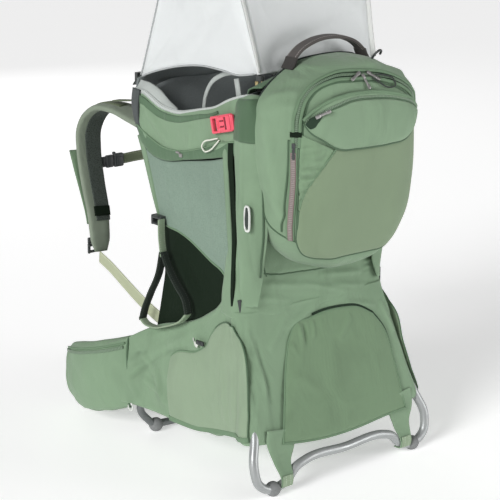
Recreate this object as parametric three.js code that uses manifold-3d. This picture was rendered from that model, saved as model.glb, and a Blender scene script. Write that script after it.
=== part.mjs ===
// Child carrier backpack: a bent aluminium frame with a fold-in kickstand, a soft cockpit with a seat,
// a rear storage pack, a sunshade on two bowed poles, and a padded harness for the wearer.
// Millimetres, +Z up, +Y the way the wearer faces, -X the wearer's left. Every left piece is mirrored
// to the right. The carrier stands on its four rubber feet.
import * as THREE from "three";
import { mergeVertices } from "three/addons/utils/BufferGeometryUtils.js";
import Module from "manifold-3d";

const wasm = await Module();
wasm.setup();

// Driving dimensions
const ORIGIN_Y = 81; // middle of the carrier's depth, measured from the layout's own zero
const FRAME_R = 8; // main frame and kickstand tube radius
const STRUT_R = 7; // rear strut and base rail radius
const FOOT_R = 13; // rubber foot radius
const FOOT_Z = 12; // height of the foot's centre, so its flat sole lies on the floor
const GAP = 0.35; // clearance kept between touching pieces
const REAR_FOOT = [165, -200]; // x and y of a rear foot
const FRONT_FOOT = [134, 169]; // x and y of a front foot
const HINGE = { x: 154, y: -100, z: 288 }; // kickstand pivot
const PIN_R = 3; // kickstand hinge pin radius
const UPRIGHT_X = 138; // front uprights, beside the back panel
const WALL_X = 152; // cockpit side walls
const REAR_Y = -112; // cockpit rear wall
const TORSO_SLOPE = 0.34; // how far the back panel leans forward per millimetre of height
const STRAP_WIDTH = 62;
const STRAP_THICK = 16;
const WEB_WIDTH = 20;
const WEB_THICK = 2.4;
const POLE_R = 3.5; // sunshade pole radius
const POLE_BASE = { x: 122, y: -114, z: 704 };
const SOCKET_HEIGHT = 26;

const COLOURS = {
  frame: ["#8b8e8e", 0.35, 0.9],
  rubber: ["#77787a", 0.8, 0],
  plastic: ["#2e3233", 0.5, 0],
  red: ["#d8455a", 0.4, 0],
  sage: ["#8aa587", 0.8, 0],
  khaki: ["#96aa91", 0.85, 0],
  stretch: ["#7d8f73", 0.9, 0],
  mesh: ["#82968a", 0.9, 0],
  grey: ["#4b5050", 0.85, 0],
  canopy: ["#dadddd", 0.8, 0],
  webbing: ["#a5aa8c", 0.8, 0],
  handle: ["#7d7672", 0.85, 0],
};

const group = new THREE.Group();
group.position.y = -ORIGIN_Y;

const at = (x, y, z) => new THREE.Vector3(x, y, z);
const mix = THREE.MathUtils.lerp;

// Value at t of a broken line through [position, value] pairs in rising order.
function along(pairs, t) {
  if (t <= pairs[0][0]) return pairs[0][1];
  for (let i = 1; i < pairs.length; i++) {
    const [a, va] = pairs[i - 1];
    const [b, vb] = pairs[i];
    if (t <= b) return mix(va, vb, (t - a) / (b - a));
  }
  return pairs[pairs.length - 1][1];
}

function add(name, colour, geometry) {
  const [color, roughness, metalness] = COLOURS[colour];
  const mesh = new THREE.Mesh(geometry, new THREE.MeshStandardMaterial({ color, roughness, metalness }));
  mesh.name = name;
  group.add(mesh);
}

// Reverses each face where the solid would otherwise be inside out.
function facingOut(vertices, faces) {
  let volume = 0;
  for (const [a, b, c] of faces) {
    volume += vertices[a].dot(vertices[b].clone().cross(vertices[c]));
  }
  const turned = volume < 0 ? faces.map(([a, b, c]) => [a, c, b]) : faces;
  const geometry = new THREE.BufferGeometry().setFromPoints(vertices);
  geometry.setIndex(turned.flat());
  return geometry;
}

function mirrored(geometry) {
  const flat = geometry.index ? geometry : mergeVertices(geometry);
  const positions = flat.getAttribute("position");
  const vertices = [];
  for (let i = 0; i < positions.count; i++) {
    vertices.push(at(-positions.getX(i), positions.getY(i), positions.getZ(i)));
  }
  const faces = [];
  for (let i = 0; i < flat.index.count; i += 3) {
    faces.push([flat.index.getX(i), flat.index.getX(i + 1), flat.index.getX(i + 2)]);
  }
  return facingOut(vertices, faces);
}

// The piece as made is the left one; the right one is its mirror image.
function addPair(name, colour, geometry) {
  add(`${name}_left`, colour, geometry);
  add(`${name}_right`, colour, mirrored(geometry));
}

// Closed solid through equal rings of points, with a fan over each end.
function loft(rings) {
  const count = rings[0].length;
  const vertices = rings.flat();
  const faces = [];
  for (let r = 0; r < rings.length - 1; r++) {
    for (let i = 0; i < count; i++) {
      const a = r * count + i;
      const b = r * count + ((i + 1) % count);
      faces.push([a, b, b + count], [a, b + count, a + count]);
    }
  }
  for (const [ring, flip] of [[0, true], [rings.length - 1, false]]) {
    const middle = at(0, 0, 0);
    rings[ring].forEach((p) => middle.addScaledVector(p, 1 / count));
    vertices.push(middle);
    const m = vertices.length - 1;
    for (let i = 0; i < count; i++) {
      const a = ring * count + i;
      const b = ring * count + ((i + 1) % count);
      faces.push(flip ? [b, a, m] : [a, b, m]);
    }
  }
  return facingOut(vertices, faces);
}

// Cloth or padding of even thickness on a surface place(u, v), both running from 0 to 1.
function sheet(place, acrossSteps, upSteps, thickness) {
  const front = [];
  const back = [];
  const d = 1e-3;
  for (let j = 0; j <= upSteps; j++) {
    for (let i = 0; i <= acrossSteps; i++) {
      const u = i / acrossSteps;
      const v = j / upSteps;
      const du = place(Math.min(u + d, 1), v).sub(place(Math.max(u - d, 0), v));
      const dv = place(u, Math.min(v + d, 1)).sub(place(u, Math.max(v - d, 0)));
      const normal = du.cross(dv).normalize();
      const p = place(u, v);
      front.push(p.clone().addScaledVector(normal, thickness / 2));
      back.push(p.clone().addScaledVector(normal, -thickness / 2));
    }
  }
  const vertices = [...front, ...back];
  const shift = front.length;
  const id = (i, j) => j * (acrossSteps + 1) + i;
  const faces = [];
  for (let j = 0; j < upSteps; j++) {
    for (let i = 0; i < acrossSteps; i++) {
      const [a, b, c, e] = [id(i, j), id(i + 1, j), id(i + 1, j + 1), id(i, j + 1)];
      faces.push([a, b, c], [a, c, e]);
      faces.push([a + shift, c + shift, b + shift], [a + shift, e + shift, c + shift]);
    }
  }
  const rim = [];
  for (let i = 0; i < acrossSteps; i++) rim.push(id(i, 0));
  for (let j = 0; j < upSteps; j++) rim.push(id(acrossSteps, j));
  for (let i = acrossSteps; i > 0; i--) rim.push(id(i, upSteps));
  for (let j = upSteps; j > 0; j--) rim.push(id(0, j));
  rim.forEach((a, k) => {
    const b = rim[(k + 1) % rim.length];
    faces.push([b, a, a + shift], [b, a + shift, b + shift]);
  });
  return facingOut(vertices, faces);
}

// Ring of a rounded box section; power 1 is an ellipse and smaller values are squarer.
function roundedRing(centre, across, up, halfAcross, halfUp, sides, power = 0.55) {
  const ring = [];
  for (let i = 0; i < sides; i++) {
    const a = (2 * Math.PI * (i + 0.5)) / sides;
    const c = Math.sign(Math.cos(a)) * Math.abs(Math.cos(a)) ** power;
    const s = Math.sign(Math.sin(a)) * Math.abs(Math.sin(a)) ** power;
    ring.push(centre.clone().addScaledVector(across, c * halfAcross).addScaledVector(up, s * halfUp));
  }
  return ring;
}

// Flat strap or webbing along a smooth curve; wide points the way that its width lies.
function strap(points, wide, width, thickness, steps, sides = 8) {
  const curve = new THREE.CatmullRomCurve3(points.map((p) => at(...p)));
  const rings = [];
  for (let i = 0; i <= steps; i++) {
    const t = i / steps;
    const tangent = curve.getTangentAt(t);
    const across = at(...wide).addScaledVector(tangent, -tangent.dot(at(...wide))).normalize();
    const up = tangent.clone().cross(across).normalize();
    rings.push(roundedRing(curve.getPointAt(t), across, up, width / 2, thickness / 2, sides, 0.5));
  }
  return loft(rings);
}

// Round bar along a smooth curve.
function tube(points, radius, sides, steps) {
  const circle = [];
  for (let i = 0; i < sides; i++) {
    const a = (2 * Math.PI * i) / sides;
    circle.push(new THREE.Vector2(radius * Math.cos(a), radius * Math.sin(a)));
  }
  const extrudePath = new THREE.CatmullRomCurve3(points.map((p) => at(...p)), false, "centripetal");
  return new THREE.ExtrudeGeometry(new THREE.Shape(circle), { steps, extrudePath });
}

function block(cx, cy, cz, dx, dy, dz) {
  return new THREE.BoxGeometry(dx, dy, dz).translate(cx, cy, cz);
}

// Box with rounded long corners, its flat faces looking along X.
function roundedBlock(cx, cy, cz, dx, dy, dz, sides = 16) {
  const ring = (x) => roundedRing(at(x, cy, cz), at(0, 1, 0), at(0, 0, 1), dy / 2, dz / 2, sides, 0.35);
  return loft([ring(cx - dx / 2), ring(cx + dx / 2)]);
}

function barAlongX(x0, x1, y, z, radius, sides) {
  const bar = new THREE.CylinderGeometry(radius, radius, Math.abs(x1 - x0), sides);
  return bar.rotateZ(Math.PI / 2).translate((x0 + x1) / 2, y, z);
}

function solid(geometry) {
  const bare = geometry.clone();
  bare.deleteAttribute("normal");
  bare.deleteAttribute("uv");
  const merged = mergeVertices(bare, 1e-3);
  const vertProperties = new Float32Array(merged.attributes.position.array);
  const triVerts = new Uint32Array(merged.index.array);
  return new wasm.Manifold(new wasm.Mesh({ numProp: 3, vertProperties, triVerts }));
}

function fromSolid(manifold) {
  const { vertProperties, triVerts } = manifold.getMesh();
  const geometry = new THREE.BufferGeometry();
  geometry.setAttribute("position", new THREE.BufferAttribute(new Float32Array(vertProperties), 3));
  geometry.setIndex(new THREE.BufferAttribute(new Uint32Array(triVerts), 1));
  return geometry;
}

const cut = (geometry, ...tools) =>
  fromSolid(tools.reduce((s, tool) => s.subtract(solid(tool)), solid(geometry)));
const join = (...geometries) => fromSolid(geometries.map(solid).reduce((a, b) => a.add(b)));

const bothSides = (half) => [...half, ...half.slice().reverse().slice(1).map(([x, y, z]) => [-x, y, z])];

// ---- Frame ----------------------------------------------------------------------------------------

// One bent tube: up the left of the back panel, over the top, and down the right.
const uprightPath = [
  [-UPRIGHT_X, 104, 130],
  [-UPRIGHT_X, 104, 250],
  [-UPRIGHT_X, 106, 400],
  [-UPRIGHT_X, 134, 480],
  [-UPRIGHT_X, 164, 560],
  [-132, 179, 597],
  [-112, 186, 613],
  [0, 188, 615],
];
add("main_frame", "frame", tube(bothSides(uprightPath), FRAME_R, 8, 34));

// One bent tube: from a hinge bracket down the side, round the front on the floor, and back up.
const railPath = [
  [-144, -82, 312],
  [-141, -64, 290],
  [-139, -38, 258],
  [-139, 40, 172],
  [-141, 100, 108],
  [-161, 148, 72],
  [-173, 163, 59],
  [-167, 169, 44],
  [-152, 170, 26],
  [-140, 169, 15],
  [-122, 169, 12.5],
  [0, 169, 12.5],
];
const railTube = (radius) => tube(bothSides(railPath), radius, 8, 52);
add("base_loop", "frame", railTube(STRUT_R));

// Rubber ball with a flat sole, moulded round the tube that it stands on.
function foot([x, y], bore) {
  const rows = 6;
  const profile = [new THREE.Vector2(0, -FOOT_Z)];
  const sole = Math.asin(FOOT_Z / FOOT_R);
  for (let i = 0; i <= rows; i++) {
    const a = mix(-sole, Math.PI / 2, i / rows);
    profile.push(new THREE.Vector2(i === rows ? 0 : FOOT_R * Math.cos(a), FOOT_R * Math.sin(a)));
  }
  const ball = new THREE.LatheGeometry(profile, 16).rotateX(Math.PI / 2).translate(-x, y, FOOT_Z);
  return cut(ball, bore);
}
addPair("front_foot", "rubber", foot(FRONT_FOOT, railTube(STRUT_R + GAP)));

// Rear struts stand beside the cockpit, from the hinge brackets to the top of the storage pack.
const strutPath = [
  [-HINGE.x, HINGE.y - 2, 326],
  [-158, -110, 450],
  [-163, -119, 580],
  [-166, -127, 692],
];
// Rear edge of the side fabric, just ahead of the strut.
const sideRear = (z) => mix(-90, -114, THREE.MathUtils.clamp((z - 326) / 366, 0, 1));
addPair("rear_strut", "frame", tube(strutPath, STRUT_R, 8, 6));

// Forked bracket: the strut stands on it, the base rail meets its front, the kickstand leg hangs in it.
const pinHole = (x0, x1) => barAlongX(x0, x1, HINGE.y, HINGE.z, PIN_R + GAP, 16);
const forkSlot = block(-HINGE.x, HINGE.y, HINGE.z - 5, 2 * FRAME_R + 1.4, 60, 40);
const bracketBody = roundedBlock(-HINGE.x, HINGE.y, 301, 26, 32, 48);
const bracket = cut(bracketBody, forkSlot, pinHole(-HINGE.x - 40, -HINGE.x + 40),
  railTube(STRUT_R + GAP));
addPair("hinge_bracket", "plastic", bracket);
addPair("hinge_pin", "frame", barAlongX(-HINGE.x - 15, -HINGE.x + 15, HINGE.y, HINGE.z, PIN_R, 16));

// ---- Kickstand ------------------------------------------------------------------------------------

// One bent tube: down from the left hinge, round the floor with a raised crossbar, and up to the right.
const standPath = [
  [-HINGE.x, HINGE.y + 2, HINGE.z + 9],
  [-155, -109, 260],
  [-164, -142, 180],
  [-189, -180, 98],
  [-202, -194, 57],
  [-195, -199, 26],
  [-178, -200, 14],
  [-150, -200, 13.5],
  [-132, -200, 21],
  [-113, -200, 39],
  [-92, -200, 46],
  [0, -200, 46],
];
const standTube = (radius) => tube(bothSides(standPath), radius, 8, 52);
add("kickstand_loop", "frame", cut(standTube(FRAME_R), pinHole(-200, 200)));
addPair("rear_foot", "rubber", foot(REAR_FOOT, standTube(FRAME_R + GAP)));

// Rear panel of the lower compartment, stretched between the kickstand legs.
const panelHalf = [[84, 174], [98, 172], [182, 147], [257, 137], [286, 133]];
function rearPanel(u, v) {
  const z = mix(86, 284, v);
  const half = along(panelHalf, z);
  const x = mix(-half, half, u);
  const lean = mix(-188, -130, v);
  const bulge = 12 * Math.sin(Math.PI * u) * Math.sin(Math.PI * v);
  return at(x, lean - bulge, z);
}
add("rear_panel", "khaki", sheet(rearPanel, 8, 5, 8));

// ---- Lower body -----------------------------------------------------------------------------------

function baseRing(z, half, rear, front) {
  return roundedRing(at(0, (rear + front) / 2, z), at(1, 0, 0), at(0, 1, 0), half, (front - rear) / 2, 20, 0.4);
}
add("base_compartment", "sage", loft([
  baseRing(62, 112, -38, 84),
  baseRing(70, 128, -50, 92),
  baseRing(160, 130, -66, 94),
  baseRing(240, 130, -84, 94),
  baseRing(258, 118, -80, 86),
]));

// Side of the base with its bulging lower pocket, under the leg opening.
function lowerSide(u, v) {
  const y = mix(-68, 92, u);
  const bottom = along([[-68, 68], [0, 56], [92, 48]], y);
  const top = along([[-68, 256], [-50, 268], [-36, 294], [33, 255], [92, 215]], y);
  const z = mix(bottom, top, v);
  const fill = along([[62, 0], [110, 1], [190, 0.8], [250, 0]], z);
  return at(-151.8 - 8 * Math.sin(Math.PI * u) * fill, y, z);
}
addPair("lower_side", "khaki", sheet(lowerSide, 8, 6, 3.4));

// Gusset that folds up when the kickstand swings in.
function gusset(u, v) {
  const front = at(-146, -76, mix(80, 250, v));
  const rear = at(mix(-166, -140, v), mix(-166, -112, v), mix(90, 250, v));
  return front.lerp(rear, u);
}
addPair("gusset", "sage", sheet(gusset, 2, 3, 2));

// ---- Cockpit --------------------------------------------------------------------------------------

const rimHeight = [[-116, 684], [-86, 667], [-43, 646], [1, 635], [57, 621], [94, 618], [117, 620],
  [142, 633], [166, 640], [200, 639]];
const seamHeight = [[-116, 575], [-53, 559], [37, 540], [106, 529], [136, 531], [170, 554], [198, 575]];
function upperSide(u, v) {
  const rear = sideRear(mix(575, 684, v));
  const y = mix(rear, 198, u);
  const z = mix(along(seamHeight, y), along(rimHeight, y), v);
  return at(-WALL_X - 3 * Math.sin(Math.PI * v), y, z);
}
addPair("upper_side", "sage", sheet(upperSide, 10, 2, 4));

const meshBottom = [[-90, 334], [-65, 347], [-52, 362], [-13, 373], [53, 405], [89, 406], [117, 433],
  [130, 439], [148, 492], [160, 520]];
function meshSide(u, v) {
  const y = mix(sideRear(mix(336, 572, v)), 156, u);
  const z = mix(along(meshBottom, y), along(seamHeight, y) - 3, v);
  return at(-WALL_X - 3 * Math.sin(Math.PI * v) * Math.sin(Math.PI * u), y, z);
}
addPair("mesh_side", "mesh", sheet(meshSide, 10, 3, 3));

function rearWall(u, v) {
  const z = mix(292, 672, v);
  const half = along([[292, 132], [340, 134], [420, 146]], z);
  return at(mix(-half, half, u), REAR_Y - 4 * Math.sin(Math.PI * u), z);
}
add("cockpit_back", "grey", sheet(rearWall, 4, 6, 5));

const torsoY = (z) => 118 + TORSO_SLOPE * Math.max(0, z - 400);
const backPanel = (u, v) => at(mix(-122, 122, u), torsoY(mix(268, 592, v)), mix(268, 592, v));
add("back_panel", "grey", sheet(backPanel, 2, 10, 8));
const lumbar = (u, v) => at(mix(-112, 112, u), 127 - 8 * Math.sin(Math.PI * u), mix(92, 260, v));
add("lumbar_pad", "grey", sheet(lumbar, 6, 2, 24));

const chinPath = [[-122, 195, 637], [-60, 199, 639], [60, 199, 639], [122, 195, 637]];
add("chin_pad", "grey", strap(chinPath, [0, 1, 0], 26, 20, 8, 10));

// Seat: a saddle that narrows towards the front, a padded back, and the child's harness.
const seatRing = (y, half, z) => roundedRing(at(0, y, z), at(1, 0, 0), at(0, 0, 1), half, 11, 12, 0.6);
add("seat_pad", "grey", loft([
  seatRing(-78, 84, 300), seatRing(-40, 98, 292), seatRing(0, 88, 290), seatRing(40, 60, 294),
  seatRing(82, 46, 304),
]));
const seatBack = (u, v) => at(mix(-86, 86, u), -92 + 5 * Math.cos(2 * Math.PI * u), mix(316, 560, v));
add("seat_back_pad", "grey", sheet(seatBack, 6, 3, 14));
const harnessStrap = (side) =>
  strap([[side * 52, -72, 640], [side * 48, -68, 540], [side * 42, -62, 440], [side * 40, -66, 330]],
    [1, 0, 0], 34, 6, 6);
const crossStrap = strap([[-46, -66, 470], [0, -63, 470], [46, -66, 470]], [0, 0, 1], 24, 3, 4);
add("child_harness", "canopy", join(harnessStrap(-1), harnessStrap(1), crossStrap));
add("harness_clip", "plastic", block(0, -56, 470, 40, 8, 30));

// ---- Storage pack ---------------------------------------------------------------------------------

const packRows = [
  // height, half width, front y, rear y
  [374, 46, -150, -192], [386, 74, -146, -214], [406, 99, -143, -226], [448, 128, -142, -236],
  [517, 145, -142, -242], [600, 159, -142, -244], [640, 160, -142, -243], [675, 149, -141, -240],
  [698, 117, -132, -234], [713, 85, -129, -225], [724, 58, -131, -212], [730, 26, -144, -192],
];
const packColumn = (k) => packRows.map((row) => [row[0], row[k]]);
const [packHalf, packFront, packRear] = [1, 2, 3].map(packColumn);
const CORNER_WIDTH = 0.6; // share of the half width taken by each rounded rear corner
const cornerDepth = (z) => Math.min(80, 0.72 * (-128 - along(packRear, z)));

// Rear face of the pack at a side position and height.
function packFace(x, z) {
  const half = along(packHalf, z);
  const into = THREE.MathUtils.clamp((Math.abs(x) / half - 1 + CORNER_WIDTH) / CORNER_WIDTH, 0, 1);
  return along(packRear, z) + cornerDepth(z) * (1 - Math.sqrt(1 - into ** 2));
}

// Level outline of the pack: a flat front, and a rear with wide rounded corners.
function packRing(z) {
  const half = along(packHalf, z);
  const front = along(packFront, z);
  const ring = [at(half - 6, front, z), at(-half + 6, front, z)];
  const sideStart = Math.min(front - 5, along(packRear, z) + cornerDepth(z));
  const steps = 9;
  for (let i = 0; i <= 2 * steps; i++) {
    const a = (Math.PI * i) / (2 * steps);
    const corner = (1 - CORNER_WIDTH) * Math.sign(Math.cos(a)) * (i === steps ? 0 : 1);
    const x = -half * (corner + CORNER_WIDTH * Math.cos(a));
    ring.push(at(x, mix(sideStart, along(packRear, z), Math.sin(a)), z));
  }
  return ring;
}
add("storage_pack", "sage", loft(packRows.map(([z]) => packRing(z))));

// Front pocket on the pack's rear face, curving with it.
function pocket(u, v) {
  const z = mix(418, 664, v);
  const half = along([[418, 66], [460, 106], [560, 124], [630, 130], [664, 104]], z);
  const x = mix(-half, half, u);
  return at(x, packFace(x, z) - 11 - 4 * Math.sin(Math.PI * u) * Math.sin(Math.PI * v), z);
}
add("front_pocket", "stretch", sheet(pocket, 10, 6, 9));

const handlePath = [[-80, -141, 721], [-66, -141, 740], [-34, -141, 754], [0, -141, 758], [34, -141, 754],
  [66, -141, 740], [80, -141, 721]];
add("haul_handle", "handle", strap(handlePath, [0, 1, 0], 24, 7, 14));

// ---- Sunshade -------------------------------------------------------------------------------------

// The bowed line of the left pole, from its socket to the front of the roof.
const bow = new THREE.CatmullRomCurve3([
  at(-122, -114, POLE_BASE.z), at(-126, -99, 760), at(-131, -84, 815), at(-132, -62, 868), at(-131, -24, 915),
  at(-129, 36, 944), at(-126, 112, 950),
]);
// The free edge of the left side: under the pole, forward to the hook, and up to the roof.
const hem = new THREE.CatmullRomCurve3([
  at(-132, -110, 707), at(-137, -55, 702), at(-139, 8, 703), at(-137, 88, 694), at(-134, 196, 664),
  at(-136, 164, 734), at(-137, 135, 802), at(-136, 116, 870), at(-133, 114, 922),
]);
const BOW_OUT = 6; // the fabric lies outside the poles by this much
function shade(u, v) {
  const tangent = bow.getTangent(v);
  const out = at(0, -tangent.z, tangent.y).normalize();
  const corner = bow.getPoint(v).add(at(-BOW_OUT, 0, 0)).addScaledVector(out, BOW_OUT);
  const inward = 1 - Math.abs(2 * u - 1); // 0 at a hem, 0.5 at a pole, 1 on the middle line
  const p = inward < 0.5 ? hem.getPoint(v).lerp(corner, inward * 2) : corner;
  if (inward > 0.5) p.x = mix(p.x, 0, inward * 2 - 1);
  return at(u < 0.5 ? p.x : -p.x, p.y, p.z);
}
add("sunshade_fabric", "canopy", sheet(shade, 8, 12, 2.4));
const polePoints = bow.getPoints(12).map((p) => [p.x, p.y, p.z]);
addPair("sunshade_pole", "frame", tube(polePoints, POLE_R, 6, 14));
const socket = new THREE.CylinderGeometry(7, 7, SOCKET_HEIGHT, 12).rotateX(Math.PI / 2);
addPair("pole_socket", "plastic",
  socket.translate(-POLE_BASE.x, POLE_BASE.y, POLE_BASE.z - 1 - SOCKET_HEIGHT / 2));
addPair("sunshade_hook", "plastic", block(-132, 207, 656, 12, 8, 22));

// ---- Wearer's harness -----------------------------------------------------------------------------

const yoke = (u, v) => at(mix(-84, 84, u), torsoY(mix(490, 548, v)) + 13, mix(490, 548, v));
add("shoulder_yoke", "grey", sheet(yoke, 4, 2, 12));
const strapPath = [
  [-60, 196, 536], [-64, 240, 546], [-70, 300, 562], [-80, 346, 575], [-90, 378, 574], [-98, 400, 556],
  [-106, 408, 530], [-112, 402, 494], [-117, 384, 432], [-122, 363, 381], [-126, 352, 338], [-128, 346, 306],
];
addPair("shoulder_strap", "sage", strap(strapPath, [1, 0, 0], STRAP_WIDTH, STRAP_THICK, 18, 8));
const lifterPath = [[-78, 352, 589], [-76, 300, 596], [-72, 240, 608], [-70, 207, 616]];
addPair("load_lifter", "webbing", strap(lifterPath, [1, 0, 0], WEB_WIDTH, WEB_THICK, 5, 6));
const lowerWebPath = [[-128, 346, 296], [-134, 300, 286], [-138, 258, 270], [-140, 205, 248], [-140, 150, 228],
  [-139, 128, 222]];
addPair("lower_webbing", "webbing", strap(lowerWebPath, [1, 0, 0], WEB_WIDTH, WEB_THICK, 9, 6));
add("sternum_strap", "webbing", strap([[-34, 395, 464], [0, 399, 464], [40, 398, 464], [76, 392, 464]],
  [0, 0, 1], WEB_WIDTH, WEB_THICK, 8, 6));
add("sternum_buckle", "plastic", roundedBlock(-55.5, 393, 464, 41, 11, 30));

// Hipbelt wing: a padded band that curves forward round the hip, lower and narrower to its tip.
const wingLine = new THREE.CatmullRomCurve3([
  at(-128, 132, 0), at(-160, 160, 0), at(-188, 210, 0), at(-200, 265, 0), at(-194, 320, 0),
  at(-174, 368, 0), at(-146, 398, 0),
]);
const WING_HINGE_Y = 130;
const wingTop = [[0, 214], [0.12, 204], [0.35, 186], [0.6, 168], [0.85, 146], [1, 122]];
const wingBottom = [[0, 98], [0.2, 96], [0.36, 46], [0.6, 24], [0.85, 26], [1, 44]];
function wingRing(t) {
  const p = wingLine.getPointAt(t);
  const tangent = wingLine.getTangentAt(t);
  const out = at(0, 0, 1).cross(tangent).normalize();
  const [low, high] = [along(wingBottom, t), along(wingTop, t)];
  const half = along([[0, 9], [0.3, 14], [0.6, 17], [0.9, 12], [1, 7]], t);
  return roundedRing(at(p.x, p.y, (low + high) / 2), out, at(0, 0, 1), half, (high - low) / 2, 12, 0.6);
}
const wingSteps = 10;
const wingRings = Array.from({ length: wingSteps + 1 }, (_, i) => wingRing(i / wingSteps));
addPair("hip_wing", "sage", loft(wingRings));
const hipWeb = strap([[-138, 406, 82], [-124, 413, 82], [-104, 418, 82]], [0, 0, 1], 36, 3, 5);
addPair("hip_buckle", "plastic", join(hipWeb, roundedBlock(-93, 419, 82, 30, 12, 46)));

// ---- Side pieces ----------------------------------------------------------------------------------

// Red side-release buckle on the upper side: the socket stays, the plug pulls out forwards.
const BUCKLE = { x: -162, y: -66, z: 620, tilt: 0.25 };
const buckleHalf = (y, sizes) =>
  block(0, y, 0, ...sizes).rotateX(-BUCKLE.tilt).translate(BUCKLE.x, BUCKLE.y, BUCKLE.z);
addPair("side_buckle_socket", "red", buckleHalf(-10, [10, 34, 32]));
addPair("side_buckle_plug", "red", buckleHalf(17.5, [8, 20, 28]));

// Foot stirrup: one webbing hanger that splits into a loop with a foot band.
const stirrupX = -164;
const hanger = strap([[stirrupX, 118, 424], [stirrupX, 116, 390], [stirrupX, 112, 343]], [0, 1, 0], 20, 3, 4);
const stirrupLoop = (points) => strap(points, [1, 0, 0], 14, 4, 5, 6);
const stirrup = join(
  hanger,
  stirrupLoop([[stirrupX, 112, 352], [stirrupX, 142, 304], [stirrupX, 170, 240], [stirrupX, 168, 222]]),
  stirrupLoop([[stirrupX, 112, 352], [stirrupX, 84, 316], [stirrupX, 50, 278], [stirrupX, 44, 256]]),
  stirrupLoop([[stirrupX, 173, 224], [stirrupX, 140, 216], [stirrupX, 90, 226], [stirrupX, 40, 258]]),
);
addPair("stirrup", "webbing", stirrup);

export default group;
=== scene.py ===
import math

import bpy
import numpy as np
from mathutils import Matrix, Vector
from mathutils.bvhtree import BVHTree


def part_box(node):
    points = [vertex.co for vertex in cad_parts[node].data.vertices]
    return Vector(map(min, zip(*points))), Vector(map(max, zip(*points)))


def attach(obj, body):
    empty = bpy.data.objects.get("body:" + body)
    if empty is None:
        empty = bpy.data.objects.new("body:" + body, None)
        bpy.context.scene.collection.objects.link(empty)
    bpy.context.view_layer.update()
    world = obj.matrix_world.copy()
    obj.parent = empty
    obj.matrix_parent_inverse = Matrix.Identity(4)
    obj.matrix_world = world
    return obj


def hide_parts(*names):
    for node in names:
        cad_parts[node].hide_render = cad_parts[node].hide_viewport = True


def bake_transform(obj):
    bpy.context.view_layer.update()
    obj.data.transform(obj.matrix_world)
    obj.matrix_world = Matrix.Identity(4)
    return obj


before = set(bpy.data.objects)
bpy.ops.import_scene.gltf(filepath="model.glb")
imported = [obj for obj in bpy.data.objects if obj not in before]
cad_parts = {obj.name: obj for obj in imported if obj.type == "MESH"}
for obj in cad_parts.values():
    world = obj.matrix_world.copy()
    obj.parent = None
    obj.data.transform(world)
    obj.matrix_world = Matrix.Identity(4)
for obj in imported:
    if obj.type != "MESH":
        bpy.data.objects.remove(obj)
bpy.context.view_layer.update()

# ---- Layout -------------------------------------------------------------------------------------
# Points are written in millimetres: +X the wearer's right, +Y forward, rear feet on y = -200.
_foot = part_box("rear_foot_left")
SHIFT = (_foot[0].y + _foot[1].y) / 2 + 0.200


def metres(points):
    """Points in millimetres, moved into the frame in metres."""
    out = np.array(points, float) / 1000
    out[..., 1] += SHIFT
    return out


def mirrored(points):
    """The same points on the other side."""
    return np.array(points, float) * (-1, 1, 1)


def both(points):
    """A left half from the outside to the middle, and its mirror back out again."""
    half = np.array(points, float)
    other = mirrored(half)[::-1]
    return np.vstack([half, other[1:] if abs(half[-1][0]) < 1e-6 else other])


# ---- Camera -------------------------------------------------------------------------------------
scene = bpy.context.scene
AZIMUTH, ELEVATION = math.radians(-40), math.radians(15.5)
FOCAL_LENGTH, SENSOR_WIDTH = 128.16, 36
CAMERA_PLACE = (-1992, -2317, 1207)
lens = bpy.data.cameras.new("camera")
lens.lens, lens.sensor_width = FOCAL_LENGTH, SENSOR_WIDTH
camera = bpy.data.objects.new("camera", lens)
scene.collection.objects.link(camera)
back = Vector((math.sin(AZIMUTH) * math.cos(ELEVATION), -math.cos(AZIMUTH) * math.cos(ELEVATION),
               math.sin(ELEVATION)))
camera.location = Vector(metres(CAMERA_PLACE))
camera.rotation_mode = "QUATERNION"
camera.rotation_quaternion = (-back).to_track_quat("-Z", "Y")
scene.camera = camera


# ---- Curves and grids ---------------------------------------------------------------------------
def hermite(t, p, x):
    """Smooth curve through points p at knots t, read at x."""
    t, p, x = np.asarray(t, float), np.asarray(p, float), np.asarray(x, float)
    h = np.diff(t)
    slope = np.diff(p, axis=0) / h[:, None]
    m = np.empty_like(p)
    m[0], m[-1] = slope[0], slope[-1]
    if len(p) > 2:
        a, b = h[:-1, None], h[1:, None]
        m[1:-1] = (slope[:-1] * b + slope[1:] * a) / (a + b)
    i = np.clip(np.searchsorted(t, x, side="right") - 1, 0, len(h) - 1)
    s = ((x - t[i]) / h[i])[:, None]
    k = h[i][:, None]
    return ((2 * s**3 - 3 * s**2 + 1) * p[i] + (s**3 - 2 * s**2 + s) * k * m[i]
            + (3 * s**2 - 2 * s**3) * p[i + 1] + (s**3 - s**2) * k * m[i + 1])


def spline(points, count):
    """count points spaced evenly along a smooth curve through the points."""
    p = np.asarray(points, float)
    knots = np.r_[0, np.cumsum(np.linalg.norm(np.diff(p, axis=0), axis=1))]
    dense = hermite(knots, p, np.linspace(0, knots[-1], max(200, count * 4)))
    run = np.r_[0, np.cumsum(np.linalg.norm(np.diff(dense, axis=0), axis=1))]
    want = np.linspace(0, run[-1], count)
    return np.stack([np.interp(want, run, dense[:, k]) for k in range(3)], 1)


def table(rows, x):
    """Smooth value of a two-column table at x."""
    rows = np.asarray(rows, float)
    x = np.clip(np.atleast_1d(np.asarray(x, float)), rows[0, 0], rows[-1, 0])
    return hermite(rows[:, 0], rows[:, 1:], x)[:, 0]


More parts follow.
